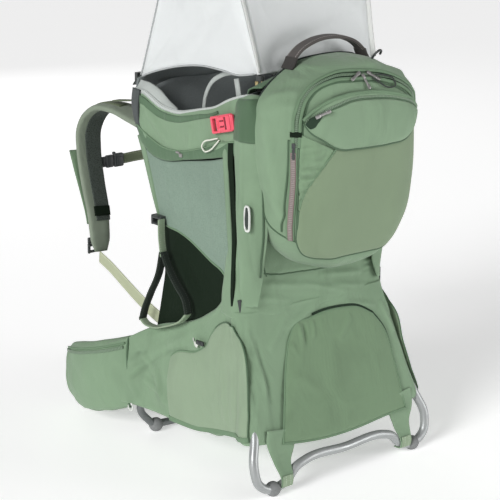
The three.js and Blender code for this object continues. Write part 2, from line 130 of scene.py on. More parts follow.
def lofted(rows, nu, nv):
    """Grid through several rows of points, from the first row (v=0) to the last (v=1)."""
    lines = np.stack([spline(r, nu + 1) for r in rows], 1)
    gaps = np.linalg.norm(np.diff(lines, axis=1), axis=2).mean(0)
    knots = np.r_[0, np.cumsum(np.maximum(gaps, 1e-3))]
    want = np.linspace(0, knots[-1], nv + 1)
    flat = lines.transpose(1, 0, 2).reshape(len(rows), -1)
    return hermite(knots, flat, want).reshape(nv + 1, nu + 1, 3).transpose(1, 0, 2)


def patch(bottom, top, left=None, right=None, nu=48, nv=36):
    """Grid filling four border curves: left and right run upward, straight when left out."""
    b, t = spline(bottom, nu + 1), spline(top, nu + 1)
    l = spline(left if left is not None else [b[0], t[0]], nv + 1)
    r = spline(right if right is not None else [b[-1], t[-1]], nv + 1)
    upward = np.linspace(0, 1, nv + 1)[:, None]
    downward = np.linspace(1, 0, nv + 1)[:, None]
    l += upward * (t[0] - l[-1]) + downward * (b[0] - l[0])
    r += upward * (t[-1] - r[-1]) + downward * (b[-1] - r[0])
    u = np.linspace(0, 1, nu + 1)[:, None, None]
    v = np.linspace(0, 1, nv + 1)[None, :, None]
    corners = (1 - u) * (1 - v) * b[0] + u * (1 - v) * b[-1] + (1 - u) * v * t[0] + u * v * t[-1]
    return (1 - v) * b[:, None] + v * t[:, None] + (1 - u) * l[None] + u * r[None] - corners


def normals(grid):
    """Unit normals of a grid of points."""
    du, dv = np.gradient(grid, axis=0), np.gradient(grid, axis=1)
    n = np.cross(du, dv)
    return n / np.maximum(np.linalg.norm(n, axis=2, keepdims=True), 1e-9)


def bulge(grid, height, pu=0.5, pv=0.5):
    """Crowned height over a grid, zero on its borders."""
    u = np.linspace(0, 1, grid.shape[0])[:, None]
    v = np.linspace(0, 1, grid.shape[1])[None, :]
    return height * (4 * u * (1 - u)) ** pu * (4 * v * (1 - v)) ** pv


def ridge(grid, start, end, height, width):
    """A fold: a raised line from start to end, fading at both ends."""
    a, b = np.array(start, float), np.array(end, float)
    d = b - a
    s = ((grid - a) @ d) / (d @ d)
    near = a + np.clip(s, 0, 1)[..., None] * d
    off = np.linalg.norm(grid - near, axis=2)
    fade = np.clip(4 * s * (1 - s), 0, 1) ** 0.5
    return height * np.exp(-((off / width) ** 2)) * fade


def ridges(grid, folds, tall=1.0, wide=1.0):
    """Several folds, each (start, end, height, width), with height and width scaled."""
    return sum(ridge(grid, a, b, tall * h, wide * w) for a, b, h, w in folds)


def ripple(grid, size, amount, seed):
    """Slow uneven undulation of cloth; size is the wavelength in millimetres."""
    rng = np.random.default_rng(seed)
    out = np.zeros(grid.shape[:2])
    for _ in range(7):
        k = rng.normal(size=3)
        k = k / np.linalg.norm(k) * (2 * math.pi / (size * rng.uniform(0.6, 1.7)))
        out += np.sin(grid @ k + rng.uniform(0, 6.28))
    return out * amount / 3


def edge_fade(grid, share=0.12):
    """1 inside a grid, falling to 0 on its borders."""
    u = np.linspace(0, 1, grid.shape[0])[:, None]
    v = np.linspace(0, 1, grid.shape[1])[None, :]
    f = np.minimum(np.minimum(u, 1 - u), np.minimum(v, 1 - v)) / share
    f = np.clip(f, 0, 1)
    return f * f * (3 - 2 * f)


def lifted(grid, height):
    """A grid moved along its normals by height."""
    return grid + normals(grid) * np.asarray(height)[..., None]


def on_grid(grid, uv, height=0.0):
    """Points over a grid at (u, v) pairs from 0 to 1, raised by height."""
    uv = np.asarray(uv, float)
    n = normals(grid)
    a = uv[:, 0] * (grid.shape[0] - 1)
    b = uv[:, 1] * (grid.shape[1] - 1)
    i = np.clip(a.astype(int), 0, grid.shape[0] - 2)
    j = np.clip(b.astype(int), 0, grid.shape[1] - 2)
    s, t = (a - i)[:, None], (b - j)[:, None]
    mix = lambda g: ((1 - s) * (1 - t) * g[i, j] + s * (1 - t) * g[i + 1, j]
                     + (1 - s) * t * g[i, j + 1] + s * t * g[i + 1, j + 1])
    return mix(grid) + mix(n) * height


# ---- Mesh makers --------------------------------------------------------------------------------
def make(name, verts, faces, material, body=None, uv=None, smooth=True):
    """A mesh object from points in millimetres, riding on body if one is named."""
    data = bpy.data.meshes.new(name)
    data.from_pydata(metres(verts).tolist(), [], [list(map(int, f)) for f in faces])
    if uv is not None:
        layer = data.uv_layers.new(name="UVMap")
        loops = np.empty(len(data.loops), int)
        data.loops.foreach_get("vertex_index", loops)
        layer.data.foreach_set("uv", np.asarray(uv, float)[loops].astype(np.float32).ravel())
    data.materials.append(material)
    data.validate()
    obj = bpy.data.objects.new(name, data)
    scene.collection.objects.link(obj)
    if smooth:
        data.shade_smooth()
    if body:
        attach(obj, body)
    return obj


def joined(name, parts, material, body=None, smooth=True):
    """One piece from several (verts, faces) or (verts, faces, uv) lumps."""
    verts, faces, uvs, base = [], [], [], 0
    for part in parts:
        v = np.asarray(part[0], float)
        verts.append(v)
        faces += [[i + base for i in f] for f in part[1]]
        uvs.append(np.asarray(part[2], float) if len(part) > 2 else v[:, [0, 2]] / 1000)
        base += len(v)
    return make(name, np.vstack(verts), faces, material, body, np.vstack(uvs), smooth)


def lengths_uv(grid):
    """UV in metres, measured along the middle lines of a grid."""
    mu, mv = grid[:, grid.shape[1] // 2], grid[grid.shape[0] // 2]
    a = np.r_[0, np.cumsum(np.linalg.norm(np.diff(mu, axis=0), axis=1))] / 1000
    b = np.r_[0, np.cumsum(np.linalg.norm(np.diff(mv, axis=0), axis=1))] / 1000
    return np.stack(np.meshgrid(a, b, indexing="ij"), 2)


def skin_part(grid, thick, around=False):
    """A sheet of even thickness, its back face set in by thick. around closes it along u."""
    nu, nv = grid.shape[:2]
    if around:
        wrapped = np.concatenate([grid[-2:-1], grid, grid[1:2]], 0)
        n = normals(wrapped)[1:-1]
    else:
        n = normals(grid)
    inner = grid - n * np.asarray(thick if np.ndim(thick) == 0 else np.asarray(thick)[..., None])
    verts = np.concatenate([grid.reshape(-1, 3), inner.reshape(-1, 3)])
    uv = np.concatenate([lengths_uv(grid).reshape(-1, 2)] * 2)
    at = lambda i, j, k: k * nu * nv + i * nv + j
    faces = []
    for i in range(nu - 1):
        for j in range(nv - 1):
            faces.append((at(i, j, 0), at(i + 1, j, 0), at(i + 1, j + 1, 0), at(i, j + 1, 0)))
            faces.append((at(i, j, 1), at(i, j + 1, 1), at(i + 1, j + 1, 1), at(i + 1, j, 1)))
    for i in range(nu - 1):
        faces.append((at(i, 0, 0), at(i, 0, 1), at(i + 1, 0, 1), at(i + 1, 0, 0)))
        faces.append((at(i, nv - 1, 0), at(i + 1, nv - 1, 0), at(i + 1, nv - 1, 1), at(i, nv - 1, 1)))
    if not around:
        for j in range(nv - 1):
            faces.append((at(0, j, 0), at(0, j + 1, 0), at(0, j + 1, 1), at(0, j, 1)))
            faces.append((at(nu - 1, j, 0), at(nu - 1, j, 1), at(nu - 1, j + 1, 1), at(nu - 1, j + 1, 0)))
    return verts, faces, uv


def skin(name, grid, thick, material, body=None, around=False):
    """A piece made of one sheet of even thickness."""
    return joined(name, [skin_part(grid, thick, around)], material, body)


def frames(path, across):
    """Unit tangent, side and normal along a path. across is the wanted side direction."""
    t = np.gradient(path, axis=0)
    t /= np.maximum(np.linalg.norm(t, axis=1, keepdims=True), 1e-9)
    side = np.broadcast_to(np.asarray(across, float), path.shape).copy()
    side -= (side * t).sum(1, keepdims=True) * t
    side /= np.maximum(np.linalg.norm(side, axis=1, keepdims=True), 1e-9)
    return t, side, np.cross(t, side)


def turning(path):
    """A side direction that doesn't twist along the path."""
    t = np.gradient(path, axis=0)
    t /= np.maximum(np.linalg.norm(t, axis=1, keepdims=True), 1e-9)
    start = np.cross(t[0], (0, 0, 1) if abs(t[0][2]) < 0.9 else (1, 0, 0))
    out = [start / np.linalg.norm(start)]
    for k in range(1, len(path)):
        s = out[-1] - (out[-1] @ t[k]) * t[k]
        out.append(s / max(np.linalg.norm(s), 1e-9))
    return np.array(out)


def sweep_part(path, width, thick, across=None, power=0.5, sides=16, caps=True, wave=None):
    """A rounded section of width by thick carried along a path."""
    n = len(path)
    t, side, up = frames(path, turning(path) if across is None else across)
    w = np.broadcast_to(np.asarray(width, float), (n,)) / 2
    h = np.broadcast_to(np.asarray(thick, float), (n,)) / 2
    a = np.arange(sides) / sides * 2 * math.pi
    ca, sa = np.cos(a), np.sin(a)
    cx = np.sign(ca) * np.abs(ca) ** power
    cy = np.sign(sa) * np.abs(sa) ** power
    rings = (path[:, None] + side[:, None] * (w[:, None] * cx)[..., None]
             + up[:, None] * (h[:, None] * cy)[..., None])
    if wave is not None:
        rings = rings + up[:, None] * wave(rings)[..., None]
    verts = rings.reshape(-1, 3)
    run = np.r_[0, np.cumsum(np.linalg.norm(np.diff(path, axis=0), axis=1))] / 1000
    uv = np.stack([np.repeat(run, sides), (w[:, None] * cx).ravel() / 1000], 1)
    faces = []
    for i in range(n - 1):
        for j in range(sides):
            k = (j + 1) % sides
            faces.append((i * sides + j, i * sides + k, (i + 1) * sides + k, (i + 1) * sides + j))
    if caps:
        for ring, flip in ((0, True), (n - 1, False)):
            base = len(verts)
            centre = rings[ring].mean(0)
            small = centre + (rings[ring] - centre) * 0.6
            verts = np.vstack([verts, small, centre])
            uv = np.vstack([uv, uv[ring * sides:(ring + 1) * sides] * (1, 0.6), [uv[ring * sides][0], 0]])
            for j in range(sides):
                k = (j + 1) % sides
                o = ring * sides
                quad = (o + j, base + j, base + k, o + k)
                tri = (base + j, base + sides, base + k)
                faces.append(quad if not flip else quad[::-1])
                faces.append(tri if not flip else tri[::-1])
    return verts, [f[::-1] for f in faces[:(n - 1) * sides]] + faces[(n - 1) * sides:], uv


def strap(name, points, width, thick, material, body=None, across=(1, 0, 0), count=None, power=0.35, sides=12,
          smooth_path=True):
    """A flat band along the points; width and thick may change along it."""
    path = spline(points, count or 48) if smooth_path else np.asarray(points, float)
    if np.ndim(across) == 2:
        across = spline(across, len(path)) if len(across) != len(path) else np.asarray(across, float)
    if np.ndim(width) == 1:
        width = np.interp(np.linspace(0, 1, len(path)), np.linspace(0, 1, len(width)), width)
    if np.ndim(thick) == 1:
        thick = np.interp(np.linspace(0, 1, len(path)), np.linspace(0, 1, len(thick)), thick)
    return joined(name, [sweep_part(path, width, thick, across, power, sides)], material, body)


def pipe(name, points, radius, material, body=None, count=None, sides=14, exact=False):
    """A round tube or piping along the points."""
    path = np.asarray(points, float) if exact else spline(points, count or 64)
    return joined(name, [sweep_part(path, 2 * radius, 2 * radius, None, 1.0, sides)], material, body)


def block_part(centre, size, round_by=1.5, turn=None):
    """A box with rounded edges; turn is a 3x3 rotation."""
    half = np.array(size, float) / 2
    r = min(round_by, *(half * 0.98))
    rings, arc = [], [0, 0.35, 0.75, 1.15, 1.5708]
    levels = [(-half[2] + r - r * math.sin(a), r * math.cos(a)) for a in arc[::-1]]
    levels += [(half[2] - r + r * math.sin(a), r * math.cos(a)) for a in arc]
    for z, grow in levels:
        ring = []
        for sx, sy, a0 in ((1, 1, 0), (-1, 1, 90), (-1, -1, 180), (1, -1, 270)):
            for a in (0, 30, 60, 90):
                b = math.radians(a0 + a)
                x = sx * (half[0] - r) + grow * math.cos(b)
                y = sy * (half[1] - r) + grow * math.sin(b)
                ring.append((x, y, z))
        rings.append(ring)
    rings = np.array(rings)
    n, m = rings.shape[:2]
    verts = rings.reshape(-1, 3)
    faces = []
    for i in range(n - 1):
        for j in range(m):
            k = (j + 1) % m
            faces.append((i * m + j, i * m + k, (i + 1) * m + k, (i + 1) * m + j))
    faces.append(tuple(range(m))[::-1])
    faces.append(tuple((n - 1) * m + j for j in range(m)))
    if turn is not None:
        verts = verts @ np.asarray(turn, float).T
    return verts + np.array(centre, float), faces


def rotation(axis, degrees):
    """A 3x3 rotation about one axis."""
    a = math.radians(degrees)
    c, s = math.cos(a), math.sin(a)
    i, j = {"x": (1, 2), "y": (2, 0), "z": (0, 1)}[axis]
    m = np.eye(3)
    m[i, i] = m[j, j] = c
    m[i, j], m[j, i] = -s, s
    return m


def flip_part(part):
    """Mirror a lump from the left to the right side."""
    out = [mirrored(part[0]), [tuple(f)[::-1] for f in part[1]]]
    return tuple(out + list(part[2:]))


def as_built(lumps):
    """The left side's lumps as they are."""
    return lumps


def flipped(lumps):
    """The right side's lumps, mirrored from the left."""
    return [flip_part(lump) for lump in lumps]


SIDES = (("left", as_built), ("right", flipped))
HIPS = ("hip_left", "hip_right")


def pair(name, build, bodies):
    """Makes a left piece with build(name, body) and its mirror on the right. bodies is one or two names."""
    bodies = (bodies, bodies) if isinstance(bodies, str) else bodies
    left = build(name + "_left", None)
    verts = np.array([v.co for v in left.data.vertices])
    right_data = left.data.copy()
    right_data.name = name + "_right"
    right_data.vertices.foreach_set("co", (verts * (-1, 1, 1)).astype(np.float32).ravel())
    right_data.flip_normals()
    right_data.update()
    right = bpy.data.objects.new(name + "_right", right_data)
    scene.collection.objects.link(right)
    if bodies[0]:
        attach(left, bodies[0])
        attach(right, bodies[1])
    return left, right


# ---- Materials ----------------------------------------------------------------------------------
def linear(rgb):
    """An sRGB colour of 0 to 255 as a linear colour with alpha."""
    c = np.array(rgb, float) / 255
    return tuple(np.where(c <= 0.04045, c / 12.92, ((c + 0.055) / 1.055) ** 2.4)) + (1.0,)


class Nodes:
    """Small helper for writing node trees."""

    def __init__(self, name):
        self.material = bpy.data.materials.new(name)
        self.material.use_nodes = True
        self.tree = self.material.node_tree
        self.tree.nodes.clear()
        self.out = self.tree.nodes.new("ShaderNodeOutputMaterial")
        self.shader = self.tree.nodes.new("ShaderNodeBsdfPrincipled")
        self.tree.links.new(self.shader.outputs[0], self.out.inputs[0])
        self.coord = self.tree.nodes.new("ShaderNodeTexCoord")

    def set(self, node, key, value):
        if isinstance(value, bpy.types.NodeSocket):
            self.tree.links.new(value, node.inputs[key])
        else:
            node.inputs[key].default_value = value

    def math(self, op, a, b=0.0, c=None):
        n = self.tree.nodes.new("ShaderNodeMath")
        n.operation = op
        self.set(n, 0, a)
        self.set(n, 1, b)
        if c is not None:
            self.set(n, 2, c)
        return n.outputs[0]

    def noise(self, scale, detail=3.0, rough=0.5, vector=None, distortion=0.0):
        n = self.tree.nodes.new("ShaderNodeTexNoise")
        self.set(n, "Scale", scale)
        self.set(n, "Detail", detail)
        self.set(n, "Roughness", rough)
        self.set(n, "Distortion", distortion)
        self.set(n, "Vector", vector or self.coord.outputs["Object"])
        return n.outputs["Fac"]

    def voronoi(self, scale, vector=None, feature="F1"):
        n = self.tree.nodes.new("ShaderNodeTexVoronoi")
        n.feature = feature
        self.set(n, "Scale", scale)
        self.set(n, "Vector", vector or self.coord.outputs["Object"])
        return n.outputs["Distance"]

    def stretched(self, scale, source="Object"):
        n = self.tree.nodes.new("ShaderNodeMapping")
        self.set(n, "Scale", scale)
        self.set(n, "Vector", self.coord.outputs[source])
        return n.outputs[0]

    def split(self, source):
        n = self.tree.nodes.new("ShaderNodeSeparateXYZ")
        self.set(n, 0, self.coord.outputs[source])
        return n.outputs

    def remap(self, value, a, b, c, d):
        n = self.tree.nodes.new("ShaderNodeMapRange")
        for k, x in enumerate((value, a, b, c, d)):
            self.set(n, k, x)
        return n.outputs[0]

    def mix(self, fac, a, b):
        n = self.tree.nodes.new("ShaderNodeMix")
        n.data_type = "RGBA"
        self.set(n, 0, fac)
        self.set(n, 6, a)
        self.set(n, 7, b)
        return n.outputs[2]

    def bump(self, height, strength, distance, normal=None):
        n = self.tree.nodes.new("ShaderNodeBump")
        self.set(n, "Height", height)
        self.set(n, "Strength", strength)
        self.set(n, "Distance", distance)
        if normal is not None:
            self.set(n, "Normal", normal)
        return n.outputs[0]

    def pointiness(self):
        return self.tree.nodes.new("ShaderNodeNewGeometry").outputs["Pointiness"]

    def finish(self, **sockets):
        for key, value in sockets.items():
            self.set(self.shader, key.replace("_", " "), value)
        return self.material


GRAIN = 420
COTTON_GLOSS, TAPE_GLOSS = 0.15, 0.2
THREAD = 0.0004


def shade(rgb, factor):
    """A colour made darker or lighter."""
    return tuple(min(1.0, c * factor) for c in linear(rgb)[:3]) + (1.0,)


def woven(n, period, source="Object"):
    """Height of a plain weave of that period in metres."""
    x, y, z = n.split(source)
    k = 2 * math.pi / period
    if source == "UV":
        a, b = n.math("MULTIPLY", x, k), n.math("MULTIPLY", y, k)
    else:
        a = n.math("MULTIPLY", n.math("ADD", x, y), k * 0.72)
        b = n.math("MULTIPLY", z, k)
    return n.math("MULTIPLY", n.math("SINE", a), n.math("SINE", b))


def cloth(name, rgb, period=0.0016, rough=0.82, vary=0.10, crease_depth_and_shade=0.35, sheen=0.15, weave=0.25):
    """Plain weave with soft creases; lighter on edges as a painted highlight, darker in hollows and creases
    as painted shade.
    """
    n = Nodes(name)
    broad = n.noise(7, 4, 0.55)
    fine = n.noise(GRAIN, 2, 0.6)
    tone = n.math("ADD", n.math("MULTIPLY", broad, 0.7), n.math("MULTIPLY", fine, 0.3))
    colour = n.mix(tone, shade(rgb, 1 - vary), shade(rgb, 1 + vary))
    # Painted highlight: convex edges found by pointiness are made lighter.
    edge = n.remap(n.pointiness(), 0.50, 0.60, 0.0, 0.35)
    colour = n.mix(edge, colour, shade(rgb, 1.35))
    # Painted shade: hollows found by pointiness are made darker.
    hollow_shade = n.remap(n.pointiness(), 0.40, 0.497, 0.75, 0.0)
    colour = n.mix(hollow_shade, colour, shade(rgb, 0.45))
    threads = woven(n, period)
    # Painted shade in creases: the fold noise darkens the colour as well as bumping the surface; the wrinkle
    # amount sets both.
    folds = n.noise(15, 3, 0.5, n.stretched((1.0, 1.0, 0.40)), 0.8)
    colour = n.mix(n.remap(folds, 0.52, 0.72, 0.0, crease_depth_and_shade), colour, shade(rgb, 0.62))
    normal = n.bump(folds, min(1.0, 2 * crease_depth_and_shade), 0.010)
    normal = n.bump(threads, weave, THREAD, normal)
    roughness = n.remap(fine, 0.3, 0.7, rough - 0.06, rough + 0.06)
    return n.finish(Base_Color=colour, Roughness=roughness, Normal=normal, Sheen_Weight=sheen,
        Sheen_Roughness=0.5, Specular_IOR_Level=COTTON_GLOSS)


def lit_and_shaded_cloth(name, shaded_rgb, lit_rgb, low, high):
    """Cloth with painted light and shade along the frame's Y: its tone goes from the shaded colour at low to
    the lit colour at high (metres).
    """
    n = Nodes(name)
    share = n.remap(n.math("ADD", n.split("Object")[1], n.math("MULTIPLY", n.noise(6, 3), 0.04)), low, high,
        0, 1)
    fine = n.noise(GRAIN, 2, 0.6)
    colour = n.mix(share, shade(shaded_rgb, 1.0), shade(lit_rgb, 1.0))
    colour = n.mix(n.math("MULTIPLY", fine, 0.3), colour, shade(shaded_rgb, 0.9))
    normal = n.bump(n.noise(24, 3, 0.5), 0.4, 0.006)
    normal = n.bump(woven(n, 0.0016), 0.25, THREAD, normal)
    return n.finish(Base_Color=colour, Roughness=n.remap(fine, 0.3, 0.7, 0.76, 0.88), Normal=normal,
        Sheen_Weight=0.05, Specular_IOR_Level=TAPE_GLOSS)


def ribbed(name, rgb, pitch=0.0021, half=None, rough=0.72, stitch=None):
    """Woven webbing or binding tape with cross ribs, its UV running along it in metres."""
    n = Nodes(name)
    u, v, _ = n.split("UV")
    k = 2 * math.pi / pitch
    ribs = n.math("SINE", n.math("MULTIPLY", u, k))
    rows = n.math("SINE", n.math("MULTIPLY", v, k * 1.7))
    fine = n.noise(500, 2, 0.6)
    tone = n.math("ADD", n.math("MULTIPLY", n.noise(14, 3), 0.6), n.math("MULTIPLY", fine, 0.4))
    colour = n.mix(tone, shade(rgb, 0.86), shade(rgb, 1.14))
    colour = n.mix(n.remap(ribs, -1, 1, 0.0, 0.25), colour, shade(rgb, 0.72))
    height = n.math("ADD", n.math("MULTIPLY", ribs, 0.7), n.math("MULTIPLY", rows, 0.3))
    if half and stitch:
        from_edge = n.math("ABSOLUTE", n.math("SUBTRACT", n.math("ABSOLUTE", v), half - 0.0026))
        near = n.math("LESS_THAN", from_edge, 0.0006)
        dash = n.math("LESS_THAN", n.math("FRACT", n.math("MULTIPLY", u, 1 / 0.0042)), 0.66)
        thread = n.math("MULTIPLY", near, dash)
        colour = n.mix(thread, colour, linear(stitch))
        height = n.math("ADD", height, n.math("MULTIPLY", thread, 1.5))
    normal = n.bump(height, 0.4, 0.0005)
    return n.finish(Base_Color=colour, Roughness=n.remap(fine, 0.3, 0.7, rough - 0.08, rough + 0.08),
                    Normal=normal, Sheen_Weight=0.05, Specular_IOR_Level=TAPE_GLOSS)


def netting(name, rgb, dark, scale=330.0, hole=0.34):
    """Open knit: light threads round dark holes."""
    n = Nodes(name)
    cells = n.voronoi(scale, n.stretched((1.0, 1.0, 0.8)))
    holes = n.remap(cells, hole - 0.10, hole + 0.08, 1.0, 0.0)
    tone = n.noise(9, 3)
    base = n.mix(tone, shade(rgb, 0.88), shade(rgb, 1.12))
    colour = n.mix(holes, base, linear(dark))
    normal = n.bump(n.math("SUBTRACT", 1.0, holes), 0.5, 0.0008)
    normal = n.bump(n.noise(22, 3), 0.3, 0.004, normal)
    return n.finish(Base_Color=colour, Roughness=0.86, Normal=normal, Sheen_Weight=0.05,
                    Specular_IOR_Level=TAPE_GLOSS)


def moulded(name, rgb, rough=0.42, grain=900.0, metal=0.0, wear=0.5, coat=0.0):
    """Moulded plastic or coated metal with fine grain and lighter edges, partly wear and partly a painted
    highlight.
    """
    n = Nodes(name)
    fine = n.noise(grain, 2, 0.6)
    broad = n.noise(30, 4, 0.6)
    colour = n.mix(broad, shade(rgb, 0.88), shade(rgb, 1.12))
    # Edges made lighter: partly wear, partly a painted highlight.
    edge_wear_and_highlight = n.math("MULTIPLY", n.remap(n.pointiness(), 0.52, 0.62, 0.0, 1.0),
        n.remap(broad, 0.35, 0.7, 0.0, wear))
    light = tuple(0.25 + 0.75 * c for c in linear(rgb)[:3]) + (1.0,)
    colour = n.mix(edge_wear_and_highlight, colour, light)
    normal = n.bump(fine, 0.12, THREAD)
    roughness = n.remap(broad, 0.3, 0.7, rough - 0.07, rough + 0.10)
    return n.finish(Base_Color=colour, Roughness=roughness, Normal=normal, Metallic=metal, Coat_Weight=coat)


def toothed(name, tape, teeth, pitch=0.0032, half=0.0028):
    """A closed zip: woven tape with a toothed band down its middle, UV along it in metres."""
    n = Nodes(name)
    u, v, _ = n.split("UV")
    band = n.math("LESS_THAN", n.math("ABSOLUTE", v), half)
    comb = n.math("SINE", n.math("MULTIPLY", u, 2 * math.pi / pitch))
    colour = n.mix(band, linear(tape), n.mix(n.remap(comb, -1, 1, 0, 1), shade(teeth, 0.55), linear(teeth)))
    height = n.math("MULTIPLY", band, n.math("ADD", comb, 1.5))
    return n.finish(Base_Color=colour, Roughness=n.remap(band, 0, 1, 0.8, 0.45),
                    Normal=n.bump(height, 0.6, 0.0008))


M = {
    "sage": cloth("sage_cloth", (126, 150, 123)),
    "sage_dark": cloth("sage_shade_cloth", (90, 115, 90)),
    "sage_soft": cloth("sage_ruched_cloth", (122, 147, 118), crease_depth_and_shade=0.6),
    # Sage darkened as painted shade, for the shaded sleeve flap and the shadow line behind the sleeve.
    "sage_shade": cloth("sage_flap_shadow_cloth", (82, 106, 82)),
    "strap_cloth": cloth("strap_cloth", (136, 147, 130)),
    "khaki": cloth("khaki_cloth", (137, 156, 131), period=0.0024, crease_depth_and_shade=0.25),
    "stretch": cloth("stretch_cloth", (124, 142, 115), period=0.0011, crease_depth_and_shade=0.12, weave=0.15),
    # The rear arch pocket's khaki, darkened as painted shade for the rear face.
    "pocket": cloth("pocket_shaded_khaki_cloth", (114, 138, 109), period=0.0016, crease_depth_and_shade=0.3),
    "grey": cloth("cockpit_cloth", (84, 89, 89), crease_depth_and_shade=0.3),
    # Cockpit lining: painted shade towards the rear, painted light towards the front.
    "cockpit": lit_and_shaded_cloth("cockpit_lining_lit_and_shaded_cloth", (56, 62, 61), (132, 138, 138), -0.02, 0.08),
    "light_cloth": cloth("guard_cloth", (178, 184, 180), period=0.0012, vary=0.05, crease_depth_and_shade=0.2),
    "canopy": cloth("canopy_cloth", (212, 215, 215), period=0.0012, vary=0.03, crease_depth_and_shade=0.15, sheen=0.05),
    "sleeve": cloth("canopy_sleeve_cloth", (226, 228, 225), period=0.0012, vary=0.03, crease_depth_and_shade=0.2),
    # Dark green for painted shade in gaps, recesses and openings.
    "shadow_green": cloth("opening_shadow_cloth", (44, 60, 47), crease_depth_and_shade=0.2, sheen=0.0),
    # Near-black cloth; in the leg opening and the side slot it is painted shade.
    "black_cloth": cloth("black_opening_cloth", (20, 33, 21), crease_depth_and_shade=0.2, sheen=0.0),
    "mesh": netting("side_netting", (126, 145, 131), (112, 134, 120), scale=640.0),
    "air": netting("air_netting", (92, 98, 93), (44, 48, 46), scale=420.0),
    "inner_air": netting("strap_netting", (80, 88, 82), (44, 50, 46), scale=520.0),
    "tube": moulded("tube_metal", (160, 163, 163), rough=0.36, metal=0.35, wear=0.15),
    # The frame tube darkened as painted shade, for the base loop low under the pack.
    "tube_shaded": moulded("base_tube_shaded_metal", (108, 112, 112), rough=0.40, metal=0.35, wear=0.15),
    "pin": moulded("steel_pin_metal", (170, 172, 174), rough=0.3, metal=0.9),
    "rubber": moulded("grey_rubber", (122, 124, 124), rough=0.7, grain=500.0, wear=0.1),
    "black": moulded("black_moulding", (48, 52, 52), rough=0.42, wear=0.2),
    "red": moulded("red_moulding", (232, 84, 104), rough=0.38, wear=0.1, coat=0.15),
    "red_dark": moulded("red_slot_shade_moulding", (120, 22, 40), rough=0.5, wear=0.1),
    "brass": moulded("brass_screw_metal", (196, 178, 130), rough=0.3, metal=0.8),
    "silver": moulded("pull_metal", (150, 148, 146), rough=0.3, metal=0.6),
    "white": moulded("white_moulding", (214, 217, 212), rough=0.5, wear=0.1),
    "strap_light": ribbed("light_webbing", (176, 182, 152), half=0.0125, stitch=(204, 208, 186)),
    "strap_olive": ribbed("olive_webbing", (104, 114, 90), half=0.010, stitch=(146, 154, 128)),
    "strap_sage": ribbed("sage_webbing", (146, 164, 138), half=0.0075, stitch=(176, 190, 168)),
    "strap_black": ribbed("black_webbing", (56, 64, 60), half=0.008, stitch=(84, 90, 86)),
    "strap_dark": ribbed("dark_webbing", (40, 48, 42), half=0.007, stitch=(66, 74, 68)),
    "strap_grey": ribbed("grey_webbing", (150, 156, 156), half=0.017, stitch=(190, 194, 194)),
    "handle_root": ribbed("handle_root_webbing", (62, 60, 58), half=0.014),
    "handle": ribbed("handle_webbing", (86, 82, 80), half=0.012, stitch=(170, 164, 160)),
    "white_tape": ribbed("white_tape", (214, 217, 210), half=0.004, pitch=0.0014),
    "trim_sage": ribbed("sage_tape", (112, 138, 110), half=0.004, pitch=0.0016),
    "trim_deep": ribbed("deep_sage_tape", (84, 108, 84), half=0.003, pitch=0.0016),
    "trim_light": ribbed("light_tape", (190, 196, 192), half=0.005, pitch=0.0016, stitch=(150, 154, 152)),
    "trim_grey": ribbed("grey_tape", (176, 180, 180), half=0.004, pitch=0.0016),
    "cord": ribbed("white_cord_braid", (226, 228, 216), pitch=0.0012),
    "dark_cord": ribbed("dark_cord_braid", (60, 66, 62), pitch=0.0012),
    "zip_mauve": toothed("mauve_zip", (132, 116, 112), (158, 146, 142)),
    "zip_sage": toothed("sage_zip", (86, 110, 86), (122, 146, 120)),
}


def keep(obj, *nodes, slot=None):
    """Hides the CAD parts that a piece, or a left and right pair of them, stands in for. Returns it."""
    if nodes:
        if isinstance(obj, tuple):
            for o, side in zip(obj, ("left", "right")):
                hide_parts(*[f"{n}_{side}" for n in nodes])
        else:
            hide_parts(*nodes)
    return obj


def twin(maker, name, *args, bodies="carrier", nodes=(), slot=None, **options):
    """A left piece made by maker(name, *args, body=...) and its mirror on the right, kept as a pair."""
    return keep(pair(name, lambda n, b: maker(n, *args, body=b, **options), bodies), *nodes, slot=slot)


# ---- Lying on a piece --------------------------------------------------------------------------
def near(obj, points, lift=0.0):
    """Moves points (in millimetres) onto a piece's surface, then out by lift."""
    tree = BVHTree.FromObject(obj, bpy.context.evaluated_depsgraph_get())
    out = []
    for p in metres(points):
        hit, normal, _, _ = tree.find_nearest(Vector(p))
        out.append(np.array(hit + normal * (lift / 1000)))
    out = np.array(out)
    out[:, 1] -= SHIFT
    return out * 1000


def side_of(obj, points):
    """Outward normals of a piece at the surface nearest to each point."""
    tree = BVHTree.FromObject(obj, bpy.context.evaluated_depsgraph_get())
    return np.array([np.array(tree.find_nearest(Vector(p))[1]) for p in metres(points)])


def tape_on(name, obj, points, width, thick, lift, material, body, count=80, power=0.4):
    """A flat tape lying on a piece's surface along a line of points."""
    path = near(obj, spline(points, count), lift)
    for _ in range(3):
        path[1:-1] = (path[:-2] + 2 * path[1:-1] + path[2:]) / 4
    across = np.cross(np.gradient(path, axis=0), side_of(obj, path))
    return joined(name, [sweep_part(path, width, thick, across, power, 12)], material, body)


def panel_on(obj, grid, lift):
    """A grid laid on a piece's surface and raised by lift (a number or one height per point)."""
    tree = BVHTree.FromObject(obj, bpy.context.evaluated_depsgraph_get())
    base = grid.copy()
    n = np.empty_like(grid)
    for index in np.ndindex(grid.shape[:2]):
        hit, normal, _, _ = tree.find_nearest(Vector(metres([grid[index]])[0]))
        base[index] = np.array(hit) * 1000
        base[index][1] -= SHIFT * 1000
        n[index] = normal
    for _ in range(2):
        n[1:-1, 1:-1] = (n[:-2, 1:-1] + n[2:, 1:-1] + n[1:-1, :-2] + n[1:-1, 2:]) / 4
    n /= np.maximum(np.linalg.norm(n, axis=2, keepdims=True), 1e-9)
    return base + n * np.broadcast_to(np.asarray(lift, float), grid.shape[:2])[..., None]


